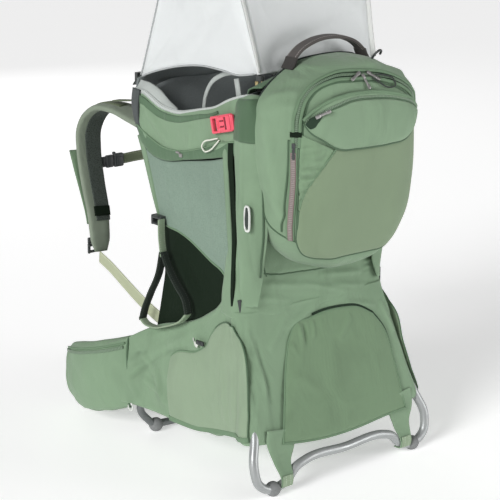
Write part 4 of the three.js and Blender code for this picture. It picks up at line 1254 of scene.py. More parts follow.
def cushion_part(rings):
    """A closed crowned form from rings of points, ends drawn together."""
    rings = np.asarray(rings, float)
    n, m = rings.shape[:2]
    verts = rings.reshape(-1, 3)
    faces = []
    for i in range(n - 1):
        for j in range(m):
            k = (j + 1) % m
            faces.append((i * m + j, (i + 1) * m + j, (i + 1) * m + k, i * m + k))
    for ring, flip in ((0, False), (n - 1, True)):
        base = len(verts)
        centre = rings[ring].mean(0)
        for share in (0.66, 0.33):
            verts = np.vstack([verts, centre + (rings[ring] - centre) * share])
        verts = np.vstack([verts, centre])
        o = ring * m
        for j in range(m):
            k = (j + 1) % m
            for f in ((o + j, o + k, base + k, base + j), (base + j, base + k, base + m + k, base + m + j),
                      (base + m + j, base + m + k, base + 2 * m)):
                faces.append(f if not flip else f[::-1])
    return verts, faces


def cushion(name, rings, material, body):
    """A closed padded piece from its rings."""
    return joined(name, [cushion_part(rings)], material, body)


def rounded(a, power_c, power_s):
    """Corner-rounded circle: cosine and sine of a raised to powers, signs kept."""
    c, s = math.cos(a), math.sin(a)
    return math.copysign(abs(c) ** power_c, c), math.copysign(abs(s) ** power_s, s)


def turn(count):
    """Angles of one full turn, evenly spaced."""
    return np.linspace(0, 2 * math.pi, count, endpoint=False)


def end_taper(s, power, sharp, least):
    """Thickness share along a pad, from full in the middle to least at its ends."""
    return max((1 - abs(s) ** power) ** sharp, least)


lumbar_rings = []
for s in np.linspace(-1, 1, 18):
    k = end_taper(s, 4, 0.4, 0.2)
    ring = []
    for a in turn(52):
        c, q = rounded(a, 0.5, 0.6)
        x = 111 * c * (0.93 + 0.07 * k)
        y = 127 - 8 * math.sin(math.pi * (s + 1) / 2) + 11.5 * k * q * (1 - 0.25 * abs(x / 111) ** 3)
        ring.append((x, y, 176 + 85 * s))
    lumbar_rings.append(ring)
lumbar = keep(cushion("lumbar_cushion", lumbar_rings, M["air"], "carrier"), "lumbar_pad", slot="side_mesh")

chin_rings = []
for s in np.linspace(-1, 1, 20):
    k = end_taper(s, 5, 0.4, 0.25)
    ring = []
    for a in turn(28):
        c, q = rounded(a, 0.7, 0.7)
        ring.append((124 * s, 199 - 4 * s * s + 13 * k * c, 638 + 10 * k * q))
    chin_rings.append(ring)
chin = keep(cushion("chin_cushion", chin_rings, M["grey"], "carrier"), "chin_pad", slot="grey_fabric")

# ---- Seat ---------------------------------------------------------------------------------------
seat_rings = []
for y, half, z in ((-80, 70, 300), (-74, 84, 300), (-55, 93, 296), (-30, 97, 292), (0, 90, 290),
        (30, 70, 293), (55, 52, 298), (76, 45, 303), (82, 38, 304)):
    edge = 0.55 if y in (-80, 82) else 1.0
    ring = []
    for a in turn(40)[::-1]:
        c, q = rounded(a, 0.6, 0.7)
        ring.append((half * c, y, z + 10.5 * edge * q))
    seat_rings.append(ring)
seat = keep(cushion("child_seat_cushion", seat_rings, M["grey"], "seat"), "seat_pad", slot="grey_fabric")
back_rings = []
for s in np.linspace(-1, 1, 18):
    k = end_taper(s, 4, 0.4, 0.25)
    ring = []
    for a in turn(40):
        c, q = rounded(a, 0.5, 0.7)
        ring.append((85 * c * (0.92 + 0.08 * k), -86 + 6.5 * k * q, 438 + 121 * s))
    back_rings.append(ring)
seat_back = keep(cushion("child_back_cushion", back_rings, M["grey"], "seat"), "seat_back_pad",
    slot="grey_fabric")

HARNESS = [(-56, -78, 660), (-52, -70, 640), (-50, -70, 590), (-48, -67, 540), (-42, -62, 440),
    (-40, -66, 330)]
parts = [sweep_part(spline(line, 60), 34, 6, (1, 0, 0), 0.4, 14) for line in (HARNESS, mirrored(HARNESS))]
parts.append(sweep_part(spline([(-58, -61, 470), (0, -58, 471), (58, -61, 470)], 30), 20, 2.4, (0, 0, 1),
    0.35, 12))
keep(joined("child_harness_webs", parts, M["strap_grey"], "seat"), "child_harness", slot="grey_fabric")
clip = [block_part((0, -54, 470), (38, 7, 28), 3), block_part((0, -50.4, 470), (22, 3, 16), 1.2),
        block_part((-13, -50.6, 470), (4, 2.4, 22), 1), block_part((13, -50.6, 470), (4, 2.4, 22), 1)]
keep(joined("harness_chest_clip", clip, M["black"], "seat"), "harness_clip", slot="black_plastic")
GRAB = [(-118, 40, 622), (-118, 34, 648), (-118, 18, 672), (-120, -14, 690), (-124, -52, 700)]
twin(strap, "cockpit_grab_strap", GRAB, 8, 3, M["light_cloth"], across=(0, 0.5, 1), count=50)

# ---- Storage pack -------------------------------------------------------------------------------
PACK = [(374, 46, -150, -192), (386, 78, -146, -212), (406, 106, -143, -222), (448, 138, -142, -230),
        (517, 153, -142, -234), (600, 160, -142, -238), (640, 160, -142, -240), (675, 149, -141, -240),
        (698, 117, -132, -234), (713, 85, -129, -225), (724, 58, -131, -212), (730, 26, -144, -192)]


def pack_ring(z):
    """Level outline of the pack: flat front, rear with wide rounded corners."""
    rows = np.array(PACK, float)
    half, front, rear = hermite(rows[:, 0], rows[:, 1:], [z])[0]
    corner = min(80.0, 0.72 * (-128 - rear))
    side = min(front - 5, rear + corner)
    ring = [(half - 6 - (2 * half - 12) * s, front + 1.5 * math.sin(math.pi * s), z)
            for s in np.linspace(0, 1, 26)]
    ring += [(-half, side + (front - 5 - side) * s, z) for s in np.linspace(1, 0.05, 5)]
    for a in np.linspace(0, math.pi / 2, 26):
        ring.append((-half * (0.4 + 0.6 * math.cos(a)), side + (rear - side) * math.sin(a), z))
    ring += [(half * 0.4 * s, rear, z) for s in np.linspace(-0.88, 0.88, 15)]
    for a in np.linspace(math.pi / 2, 0, 26):
        ring.append((half * (0.4 + 0.6 * math.cos(a)), side + (rear - side) * math.sin(a), z))
    ring += [(half, side + (front - 5 - side) * s, z) for s in np.linspace(0.05, 1, 5)]
    return ring


levels = np.r_[np.linspace(374, 448, 20), np.linspace(454, 660, 44), np.linspace(665, 730, 24)]
pack_rings = np.array([pack_ring(z) for z in levels])
crown = 3.5 * np.sin(math.pi * np.clip((levels - 420) / 290, 0, 1))[:, None] * np.clip(
    -(pack_rings[..., 1] + 190) / 50, 0, 1)
pack_rings[..., 1] -= crown
out = np.cross(np.gradient(pack_rings, axis=0), np.gradient(pack_rings, axis=1))
out /= np.maximum(np.linalg.norm(out, axis=2, keepdims=True), 1e-9)
out *= np.sign((out * (pack_rings - (0, -180, 560))).sum(2, keepdims=True).mean())
lift = ripple(pack_rings, 110, 1.2, 201)
lift += ridges(pack_rings, [
    ((-150, -150, 690), (-158, -190, 560), 2.2, 12), ((-158, -170, 640), (-146, -190, 470), 1.6, 10),
    ((-140, -150, 700), (-90, -215, 716), 2.4, 9), ((-152, -160, 676), (-118, -214, 694), 2.6, 8),
    ((-156, -156, 650), (-132, -214, 668), 1.8, 7), ((-128, -222, 560), (-96, -236, 556), 2.4, 4),
    ((-128, -220, 545), (-104, -232, 540), 2.2, 4), ((-126, -222, 578), (-88, -238, 570), 2.2, 4),
    ((-124, -218, 522), (-112, -226, 520), 2.0, 4), ((-118, -150, 450), (-60, -200, 396), 2.6, 8),
    ((-128, -150, 470), (-100, -190, 430), 2.4, 7), ((60, -200, 400), (128, -160, 450), 2.4, 8),
    ((158, -160, 640), (146, -190, 500), 2.0, 10), ((100, -214, 700), (150, -170, 680), 2.2, 8),
    ((-60, -200, 722), (40, -200, 724), 1.6, 8), ((-156, -150, 600), (-134, -206, 588), 1.2, 5),
    ((-156, -160, 540), (-138, -196, 470), 2.0, 7), ((-150, -150, 716), (-60, -205, 690), 1.4, 5),
    ((-140, -180, 690), (-150, -160, 610), 1.6, 6), ((60, -215, 712), (130, -190, 690), 1.8, 6),
    ((-30, -190, 726), (60, -216, 706), 1.6, 6),
], 1.5)
ends = np.clip(np.minimum(levels - 374, 730 - levels) / 14, 0, 1)[:, None]
pack_rings = pack_rings + out * (lift * ends)[..., None]
bag = cushion("storage_bag", pack_rings[:, ::-1], M["sage"], None)


bpy.context.view_layer.update()
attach(bag, "carrier")
keep(bag, "storage_pack", slot="sage_fabric")

# Main zip: a recess between two raised bands, over the top of the rear face.
ARCH_OUT = [(-137, -214, 597), (-137, -214, 621), (-134, -213, 653), (-120, -213, 679), (-96, -213, 698),
    (-60, -218, 710), (-18, -224, 714), (28, -228, 710), (72, -232, 698), (112, -230, 676),
    (136, -222, 650), (146, -212, 616), (146, -210, 590)]
ARCH_IN = [(-130, -221, 600), (-129, -221, 622), (-126, -220, 648), (-117, -219, 670), (-98, -220, 688),
    (-70, -226, 699), (-24, -232, 702), (24, -234, 697), (66, -237, 685), (104, -234, 664),
    (126, -228, 642), (138, -220, 612), (139, -218, 590)]
mid_arch = (np.array(ARCH_OUT, float) + np.array(ARCH_IN, float)) / 2
# Painted shade: the dark tape down the recess between the bands.
keep(tape_on("pack_zip_recess_shade", bag, mid_arch, 9, 1.6, 0.6, M["shadow_green"], "carrier", 160))
keep(tape_on("pack_zip_teeth", bag, mid_arch, 5, 2.2, 1.0, M["zip_sage"], "carrier", 160))
keep(tape_on("pack_zip_outer_band", bag, ARCH_OUT, 6, 4.4, 1.2, M["trim_sage"], "carrier", 160, 0.7))
keep(tape_on("pack_zip_inner_band", bag, ARCH_IN, 6, 4.4, 1.2, M["trim_sage"], "carrier", 160, 0.7))
keep(tape_on("pack_zip_inner_shadow", bag, np.array(ARCH_IN, float) * (0.965, 1, 1) + (0, 0, -5), 3.5, 1.2,
    0.4, M["trim_deep"], "carrier", 160))

# Front pocket: an arched zip at its top, a flap below it, and a stretch face with a wrinkled gusset.
ZIP_TOP = [(-125, -224, 645), (-110, -229, 659), (-88, -236, 671), (-59, -239, 678), (-14, -239, 679),
    (42, -240, 673), (98, -235, 656), (124, -226, 638)]
FLAP_TOP = [(-122, -226, 641), (-106, -231, 650), (-86, -237, 659), (-49, -240, 668), (7, -240, 667),
    (60, -241, 660), (100, -234, 647), (122, -226, 634)]
FLAP_LOW = [(-124, -224, 640), (-115, -230, 626), (-97, -239, 612), (-72, -243, 596), (-61, -244, 592),
    (-28, -244, 589), (6, -244, 588), (47, -244, 588), (90, -240, 592), (112, -232, 606), (124, -226, 632)]
FACE_LOW = [(-120, -210, 494), (-118, -206, 474), (-112, -198, 440), (-97, -196, 419), (-67, -215, 404),
    (-29, -222, 402), (20, -222, 402), (66, -215, 406), (98, -204, 422), (114, -204, 446), (124, -210, 480)]
FACE_TOP = [(-68, -243, 594), (-28, -244, 590), (6, -244, 589), (47, -244, 589), (90, -240, 593),
    (110, -233, 604), (124, -226, 630)]
zip_field = patch(FLAP_TOP, ZIP_TOP, None, None, 90, 8)
zip_field = panel_on(bag, zip_field, 5.0 + bulge(zip_field, 2, 0.2, 0.5))
keep(skin("front_pocket_zip_field", zip_field, 2.0, M["sage"], "carrier"))
face = patch(FACE_LOW, FACE_TOP, [(-120, -210, 494), (-117, -222, 525), (-105, -232, 549), (-90, -239, 569),
                                  (-68, -243, 594)],
             [(124, -210, 480), (134, -216, 530), (136, -218, 580), (124, -226, 630)], 90, 70)
face_lift = 2.6 + bulge(face, 6, 0.45, 0.4) + ripple(face, 150, 0.8, 95) * edge_fade(face)
face_lift += ridges(face, [
    ((-60, -246, 580), (-20, -246, 500), 1.6, 14), ((90, -240, 560), (60, -244, 470), 1.4, 14),
])
face = panel_on(bag, face, face_lift)
keep(skin("front_stretch_panel", face, 2.4, M["stretch"], "carrier"), "front_pocket", slot="stretch_fabric")
keep(pipe("front_stretch_piping", on_grid(face, [(0.0, v) for v in np.linspace(0.02, 1, 60)], 0.4), 1.4,
          M["trim_sage"], "carrier", 80))
keep(pipe("front_stretch_hem", on_grid(face, [(u, 0.0) for u in np.linspace(0, 1, 100)], 0.2), 1.5,
    M["trim_deep"], "carrier", 140))
flap = patch(FLAP_LOW, FLAP_TOP, None, None, 100, 30)
flap_lift = 6.0 + bulge(flap, 8, 0.3, 0.5) + ripple(flap, 90, 0.8, 91) * edge_fade(flap)
flap = panel_on(bag, flap, flap_lift)
keep(skin("front_pocket_flap", flap, 3.0, M["sage"], "carrier"), slot="sage_fabric")
keep(pipe("front_pocket_flap_edge", on_grid(flap, [(u, 0.0) for u in np.linspace(0, 1, 110)], 0.4), 1.7,
          M["trim_deep"], "carrier", 150))
keep(tape_on("front_pocket_zip_teeth", bag, (np.array(FLAP_TOP) + (0, 0, 3)).tolist(), 5, 2.6, 6.4,
    M["zip_sage"], "carrier", 130))
keep(tape_on("front_pocket_zip_band", bag, ZIP_TOP, 6, 5, 5.6, M["trim_sage"], "carrier", 130, 0.7))
keep(pipe("front_pocket_zip_shadow", on_grid(flap, [(u, 1.0) for u in np.linspace(0.02, 0.98, 90)], 1.2), 1.5,
          M["trim_deep"], "carrier", 130))
garage = patch([(-123, -225, 639), (-117, -230, 632), (-110, -234, 634)],
    [(-117, -228, 649), (-108, -232, 653), (-99, -236, 652)], None, None, 20, 14)
garage = panel_on(bag, garage, 10.5 + bulge(garage, 2.5))
keep(skin("front_pocket_zip_garage", garage, 3.0, M["shadow_green"], "carrier"))
GUSSET_LEFT = [(-127, -218, 492), (-129, -220, 530), (-130, -222, 575), (-127, -222, 620)]
gusset = patch([(-127, -218, 492), (-121, -214, 493)], [(-127, -222, 622), (-72, -243, 592)], GUSSET_LEFT,
    [(-121, -214, 493), (-117, -222, 525), (-105, -232, 549), (-90, -239, 569), (-72, -243, 592)], 26, 70)
gusset_lift = 2.4 + ripple(gusset, 24, 1.3, 97) * edge_fade(gusset, 0.2)
for k in range(8):
    z = 505 + 13 * k
    gusset_lift += ridge(gusset, (-128, -221, z), (-96 + 3 * k, -237, z + 5), 2.6, 3.2)
gusset = panel_on(bag, gusset, gusset_lift)
keep(skin("front_pocket_gusset", gusset, 1.8, M["sage_soft"], "carrier"))

# Upright zip in its strip on the left rear corner, and the pack's seams.
LEFT_ZIP = [(-136, -213, 592), (-132, -209, 545), (-130, -204, 511), (-125, -196, 475), (-117, -190, 443)]
keep(tape_on("left_zip", bag, LEFT_ZIP, 9, 2.6, 1.6, M["zip_mauve"], "carrier", 60))
keep(tape_on("left_zip_tape", bag, [(-136, -214, 612), *LEFT_ZIP], 15, 1.4, 0.7, M["trim_sage"], "carrier",
    60))
keep(tape_on("left_zip_front_piping", bag, [(-141, -208, 613), (-139, -204, 562), (-135, -193, 509),
    (-127, -181, 458)], 3.4, 3.4, 0.8, M["trim_deep"], "carrier", 70, 1.0))
keep(tape_on("left_zip_rear_piping", bag, [(-129, -222, 613), (-126, -216, 546), (-122, -208, 493),
    (-113, -198, 442)], 3.4, 3.4, 0.8, M["trim_deep"], "carrier", 70, 1.0))
keep(tape_on("left_zip_head", bag, [(-141, -211, 622), (-134, -217, 622), (-127, -223, 622)], 9, 3.2, 2.0,
             M["black_cloth"], "carrier", 16))
SIDE_SEAM = [(-152, -150, 506), (-142, -160, 468), (-121, -184, 447), (-110, -197, 438), (-96, -198, 420),
    (-80, -206, 408), (-50, -218, 403), (0, -223, 401), (50, -218, 403), (80, -206, 408), (96, -198, 420),
    (110, -197, 438), (121, -184, 447), (142, -160, 468), (152, -150, 506)]
keep(tape_on("pack_lower_seam", bag, SIDE_SEAM, 3.0, 3.0, 0.3, M["trim_deep"], "carrier", 180, 1.0))
TOP_EDGE = [(-153, -144, 560), (-159, -144, 620), (-158, -143, 650), (-148, -142, 676), (-117, -134, 699),
    (-86, -131, 713), (-58, -133, 725), (0, -139, 731), (58, -133, 725), (86, -131, 713), (117, -134, 699),
    (148, -142, 676), (158, -143, 650), (159, -144, 620), (153, -144, 560)]
keep(tape_on("pack_top_binding", bag, TOP_EDGE[3:12], 5.5, 3.4, 0.6, M["strap_black"], "carrier", 180))
# Painted shadow: thin dark tapes down the pack's side edges, below the black top binding.
for word, line in (("left", TOP_EDGE[:4]), ("right", TOP_EDGE[11:])):
    keep(tape_on("pack_side_edge_shadow_" + word, bag, line, 3.4, 3.0, 0.4, M["trim_deep"], "carrier", 60, 1.0))


def puller(name, start, step, material="silver", body="carrier", lift=4.0):
    """A zip slider with its pull tab lying along step."""
    at = near(bag, [start], lift)[0]
    n = side_of(bag, [start])[0]
    d = np.array(step, float)
    d -= (d @ n) * n
    d /= np.linalg.norm(d)
    m = np.stack([d, np.cross(n, d), n], 1)
    slider = block_part((0, 0, 0), (9, 6, 4), 1.4, m)
    tab_lump = block_part((0, 0, 0), (14, 4.4, 2.2), 1.0, m)
    bead = block_part((0, 0, 0), (9, 5.6, 4), 1.8, m)
    return joined(name, [(slider[0] + at, slider[1]), (tab_lump[0] + at + d * 9, tab_lump[1]),
                         (bead[0] + at + d * 19, bead[1])], M[material], body)


keep(puller("pack_zip_puller_left", (-12, -230, 708), (-1.0, 0, -0.6)))
keep(puller("pack_zip_puller_right", (12, -231, 707), (1.0, 0, -0.9)))
keep(puller("pack_zip_puller_middle", (-2, -232, 703), (0.2, 0, -1.0), lift=3.0))
keep(puller("front_pocket_puller", (-106, -233, 652), (1.0, 0, 0.35), lift=12.0))
keep(puller("left_zip_puller", (-136, -214, 604), (0.0, 0, -1.0), "black", lift=2.4))
CORD_LOOP = [(14, -236, 700), (28, -237, 690), (48, -238, 680), (62, -237, 682), (60, -236, 692),
    (42, -235, 701), (24, -234, 704)]
zip_loop_path = near(bag, spline(CORD_LOOP, 70), 5.0)
pull_cord = keep(joined("pack_zip_pull_cord", [sweep_part(zip_loop_path, 2.6, 2.6, None, 1.0, 10)],
    M["dark_cord"], "carrier"))
hook_path = spline([(52, -196, 722), (54, -202, 731), (60, -206, 737), (66, -204, 735), (67, -200, 729)], 30)
keep(joined("pack_top_hook", [sweep_part(hook_path, 4, 4, None, 1.0, 10)], M["black"], "carrier"))

# ---- Haul handle --------------------------------------------------------------------------------
HANDLE = [(-82, -141, 716), (-78, -141, 728), (-66, -141, 740), (-34, -141, 754), (0, -141, 758),
    (34, -141, 754), (66, -141, 740), (78, -141, 728), (82, -141, 716)]
keep(strap("haul_handle_web", HANDLE, [26, 24, 24, 22, 22, 22, 24, 24, 26],
    [4, 5.5, 6.5, 7, 7, 7, 6.5, 5.5, 4], M["handle"], "handle", across=(0, 1, 0), count=90, power=0.45,
    sides=18), "haul_handle", slot="handle_webbing")
for side in (-1, 1):
    word = "left" if side < 0 else "right"
    root = [(side * 87, -141, 713), (side * 81, -141, 721), (side * 76, -141, 731)]
    keep(strap(f"haul_handle_root_{word}", root, 28, 7, M["handle_root"], "handle", across=(0, 1, 0),
        count=24, power=0.5, sides=18))

# ---- Sunshade -----------------------------------------------------------------------------------
BOW = [(-122, -114, 704), (-126, -99, 760), (-131, -84, 815), (-132, -62, 868), (-131, -24, 915),
    (-129, 36, 944), (-126, 112, 950)]
HEM = [(-132, -110, 705), (-137, -79, 700), (-139, -40, 703), (-139, 13, 704), (-138, 68, 697),
    (-137, 125, 684), (-135, 180, 667), (-134, 196, 661), (-135, 188, 678), (-136, 174, 711),
    (-136, 157, 756), (-136, 140, 802), (-135, 124, 870), (-132, 114, 922)]
twin(pipe, "sunshade_bow", BOW, 3.5, M["tube"], count=90, sides=14, bodies="sunshade",
    nodes=("sunshade_pole",))
bow_line = spline(BOW, 121)
hem_line = spline(HEM, 121)
SIDE_ROWS, ROOF_ROWS = 12, 26
t = np.gradient(bow_line, axis=0)
t /= np.linalg.norm(t, axis=1, keepdims=True)
outward = np.cross(t, (1, 0, 0))
outward *= np.sign((outward @ np.array([0, -0.4, 1.0])))[:, None]
rows = []
for s in np.arange(SIDE_ROWS) / SIDE_ROWS:
    line = hem_line * (1 - s) + (bow_line + (-6.0, 0, 0)) * s
    rows.append(line + np.array([5 * math.sin(math.pi * s), 0, 0]))
right_rows = [r * (-1, 1, 1) for r in rows[::-1]]
over = bow_line + outward * 6
for s in np.linspace(0, 1, ROOF_ROWS + 1):
    line = over - outward * (7 * math.sin(math.pi * s))
    line[:, 0] = over[:, 0] * (1 - 2 * s)
    rows.append(line)
shade_grid = np.stack(rows + right_rows, 1)
folds = ripple(shade_grid, 150, 1.6, 101)
folds += ridges(shade_grid, [
    ((-137, 190, 680), (-133, -80, 830), 2.4, 12), ((-137, 150, 780), (-133, -70, 850), 2.0, 12),
    ((-137, 60, 700), (-134, -60, 840), 1.8, 12), ((137, 150, 780), (133, -70, 850), 2.0, 12),
    ((-120, -100, 730), (120, -100, 790), 2.0, 12),
])
shade_grid = shade_grid + (folds * edge_fade(shade_grid, 0.03))[..., None] * normals(shade_grid)
canopy = keep(skin("sunshade_cloth", shade_grid, 1.2, M["canopy"], "sunshade"), "sunshade_fabric",
              slot="canopy_fabric")
sleeves = []
for line in (bow_line, bow_line * (-1, 1, 1)):
    side = -1 if line[0, 0] < 0 else 1
    path = line + outward * 5 + np.array([side * 4.0, 0, 0])
    sleeves.append(sweep_part(path[1:], 17, 4.5, outward[1:] * 0.7 + np.array([side * 0.7, 0, 0]), 0.6, 14))
keep(joined("sunshade_sleeves", sleeves, M["sleeve"], "sunshade"))
hems = [sweep_part(spline(shade_grid[:, 0], 140), 6, 3, None, 0.6, 10),
        sweep_part(spline(shade_grid[:, -1], 140), 6, 3, None, 0.6, 10),
        sweep_part(spline(shade_grid[-1], 100), 7, 3, None, 0.6, 10)]
keep(joined("sunshade_hem_binding", hems, M["trim_grey"], "sunshade"))
tail = spline([(-134, 194, 664), (-134, 206, 655), (-134, 217, 644)], 20)
tails = [sweep_part(line, 9, 2, (1, 0, 0), 0.4, 12) for line in (tail, mirrored(tail))]
keep(joined("sunshade_hook_tails", tails, M["strap_dark"], "sunshade"))

# ---- Shoulder straps ----------------------------------------------------------------------------
SHOULDER = [(-60, 196, 536), (-64, 240, 546), (-70, 300, 562), (-80, 346, 575), (-90, 378, 574),
    (-98, 400, 556), (-106, 408, 530), (-112, 402, 494), (-117, 384, 432), (-122, 363, 381),
    (-126, 352, 338), (-128, 346, 306)]
SHOULDER_ACROSS = (1, 0.05, 0)


def shoulder_at(share, off=0.0, count=110):
    """The strap's middle line, and the same line raised off its outer face."""
    path = spline(SHOULDER, count) + (3.5, 0, 0)
    _, _, up = frames(path, SHOULDER_ACROSS)
    outside = np.sign(up[count // 2][1]) or 1.0
    first, last = (int(round(s * (count - 1))) for s in share)
    return (path + up * outside * off)[first:last + 1]


def shoulder(name, body):
    """The padded strap, wide over the shoulder and narrower towards its end."""
    path = shoulder_at((0, 1))
    s = np.linspace(0, 1, len(path))
    width = 56 * np.interp(s, [0, 0.03, 0.5, 0.8, 0.96, 1], [0.9, 1, 1, 0.88, 0.74, 0.5])
    thick = 14 * np.interp(s, [0, 0.02, 0.06, 0.94, 1], [0.5, 0.85, 1, 0.95, 0.3])
    return joined(name, [sweep_part(path, width, thick, SHOULDER_ACROSS, 0.5, 30)], M["strap_cloth"], body)


shoulders = keep(pair("shoulder_pad", shoulder, "shoulders"), "shoulder_strap", slot="sage_fabric")


def inner_face(name, body):
    """The netting on the strap's wearer side."""
    path = shoulder_at((0.03, 0.88), -6.2)
    s = np.linspace(0, 1, len(path))
    width = 38 * np.interp(s, [0, 0.5, 0.8, 1], [1, 1, 0.9, 0.84])
    return joined(name, [sweep_part(path + (6.0, 0, 0), width, 3.4, SHOULDER_ACROSS, 0.35, 16)],
        M["inner_air"], body)


keep(pair("shoulder_inner_net", inner_face, "shoulders"))
twin(joined, "shoulder_inner_band",
    [sweep_part(shoulder_at((0.83, 0.86), -7.2) + (5.0, 0, 0), 36, 4, SHOULDER_ACROSS, 0.35, 16)],
    M["black_cloth"], bodies="shoulders")
twin(joined, "shoulder_outer_web",
    [sweep_part(shoulder_at((0.3, 0.93), 7.6), 22, 2.6, SHOULDER_ACROSS, 0.35, 12)], M["strap_olive"],
    bodies="shoulders")


def strap_pocket(name, body):
    """A stretch pocket standing off the strap's outer face, open at the top."""
    path = shoulder_at((0.6, 0.89), 0)
    _, _, up = frames(path, SHOULDER_ACROSS)
    up = up * np.sign(up[0][1])
    s = np.linspace(0, 1, len(path))
    off = np.interp(s, [0, 0.12, 0.5, 1], [27, 22, 14, 8])
    return joined(name, [sweep_part(path + up * off[:, None], 50 * np.interp(s, [0, 1], [1, 0.86]),
                                    np.interp(s, [0, 0.1, 1], [5, 8, 4]), SHOULDER_ACROSS, 0.5, 20)],
                  M["sage_soft"], body)


keep(pair("shoulder_pocket", strap_pocket, "shoulders"))
lock = [block_part((-130, 358, 318), (30, 5, 5), 1.6), block_part((-130, 360, 305), (30, 5, 5), 1.6),
        block_part((-143, 359, 312), (5, 5, 20), 1.6), block_part((-117, 359, 312), (5, 5, 20), 1.6),
        block_part((-130, 362, 326), (26, 6, 12), 2)]
twin(joined, "shoulder_ladder_lock", lock, M["black"], bodies="shoulders")
for name, points, w in (("load_lifter_web", [(-78, 352, 589), (-76, 300, 596), (-72, 240, 608),
        (-70, 207, 616)], 20),
        ("lower_web", [(-128, 346, 296), (-134, 302, 286), (-138, 258, 270), (-140, 205, 248),
        (-140, 150, 228), (-139, 128, 222)], 25)):
    lifter = name.startswith("load")
    made = pair(name, lambda n, b: strap(n, points, w, 2.2, M["strap_olive" if lifter else "strap_light"],
        None, across=(1, 0, 0) if lifter else (0, 0.35, 1), count=50), (None, None))
    for o in made:
        if lifter:
            tuple(metres((0, 340, 589)))
            tuple(metres((0, 215, 612)))
            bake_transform(o)
        else:
            tuple(metres((0, 335, 296)))
            tuple(metres((0, 140, 226)))
            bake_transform(o)
    keep(made, "load_lifter" if lifter else "lower_webbing", slot="webbing")
keep(strap("sternum_web", [(-34, 395, 464), (0, 399, 464), (40, 398, 464), (76, 392, 464), (98, 388, 464)],
    20, 2.4, M["strap_olive"], "sternum", across=(0, 0, 1), count=50), "sternum_strap", slot="webbing")
clasp = [block_part((-47, 393, 464), (22, 9, 26), 3), block_part((-68, 393, 464), (16, 8, 24), 2.4),
         block_part((-57, 393, 472), (10, 6, 4), 1.6), block_part((-57, 393, 456), (10, 6, 4), 1.6),
         block_part((-47, 387.6, 464), (12, 2.4, 14), 1), block_part((-57, 393, 478), (6, 6, 6), 2),
         block_part((-80, 394, 464), (10, 5, 20), 1.6)]
keep(joined("sternum_clasp", clasp, M["black"], "sternum"), "sternum_buckle", slot="black_plastic")
yoke_rings = []
for s in np.linspace(-1, 1, 16):
    k = end_taper(s, 4, 0.4, 0.25)
    z = 519 + 29 * s
    ring = []
    for a in turn(40):
        c, q = rounded(a, 0.5, 0.7)
        ring.append((84 * c * (0.93 + 0.07 * k), torso_y(z) + 13 + 6 * k * q, z))
    yoke_rings.append(ring)
yoke = keep(cushion("yoke_cushion", yoke_rings, M["air"], "shoulders"), "shoulder_yoke", slot="side_mesh")

# ---- Hip wings ----------------------------------------------------------------------------------
WING_LINE = [(-128, 132, 0), (-160, 160, 0), (-187, 210, 0), (-197, 265, 0), (-191, 320, 0), (-172, 368, 0),
             (-146, 398, 0)]
WING_TOP = [[0, 214], [0.12, 202], [0.35, 180], [0.6, 156], [0.85, 132], [1, 108]]
WING_BOTTOM = [[0, 98], [0.2, 96], [0.36, 46], [0.6, 24], [0.85, 26], [1, 44]]
WING_HALF = [[0, 9], [0.3, 14], [0.6, 17], [0.9, 12], [1, 7]]
WING_COUNT = 90


def wing_rings():
    """Cross-sections of the left hip wing, with the line, directions and sizes they are built on."""
    line = spline(WING_LINE, WING_COUNT)
    s = np.linspace(0, 1, WING_COUNT)
    top, bottom, half = table(WING_TOP, s), table(WING_BOTTOM, s), table(WING_HALF, s)
    half = half * np.interp(s, [0, 0.04, 0.96, 1], [0.5, 1, 1, 0.4])
    tangent = np.gradient(line, axis=0)
    tangent /= np.linalg.norm(tangent, axis=1, keepdims=True)
    out = np.cross(tangent, (0, 0, 1))
    rings = []
    for k in range(WING_COUNT):
        ring = []
        for a in turn(44):
            c, q = rounded(a, 0.6, 0.75)
            p = line[k] + out[k] * (half[k] * q)
            ring.append((p[0], p[1], (top[k] + bottom[k]) / 2 + (top[k] - bottom[k]) / 2 * c))
        rings.append(ring)
    return np.array(rings), line, out, top, bottom, half


WING, wing_line, wing_out, wing_top, wing_bottom, wing_half = wing_rings()
outer = np.sign((wing_out[45] @ np.array([-1.0, 0, 0])))


def wing_at(share, values):
    """Values along the wing, one to a cross-section, read at a share of its length."""
    k = share * (WING_COUNT - 1)
    places = np.arange(WING_COUNT)
    if values.ndim == 2:
        return np.array([np.interp(k, places, column) for column in values.T])
    return np.interp(k, places, values)


def wing_point(share, up, off=0.0):
    """A point over the wing's outer face; up runs from 0 at the bottom to 1 at the top."""
    low, high = wing_at(share, wing_bottom), wing_at(share, wing_top)
    z = low + (high - low) * up
    rise = abs(2 * up - 1)
    out = wing_at(share, wing_half) * (1 - rise ** 3) ** 0.5 + off
    p = wing_at(share, wing_line) + wing_at(share, wing_out) * outer * out
    return np.array([p[0], p[1], z])


wing_lift = ripple(WING, 70, 1.2, 301)
wing_lift += ridges(WING, [
    (wing_point(0.45, 0.8), wing_point(0.9, 0.75), 2.0, 7),
    (wing_point(0.4, 0.2), wing_point(0.8, 0.15), 2.0, 8),
])
side_sign = np.cross(np.gradient(WING, axis=0), np.gradient(WING, axis=1))
side_sign /= np.maximum(np.linalg.norm(side_sign, axis=2, keepdims=True), 1e-9)
wing_ends = np.clip(np.sin(math.pi * np.linspace(0, 1, WING_COUNT)) * 4, 0, 1)[:, None]
WING = WING + side_sign * (wing_lift * wing_ends)[..., None]
wings = keep(pair("hip_wing_pad", lambda n, b: cushion(n, WING, M["sage"], b), HIPS),
    "hip_wing", slot="sage_fabric")


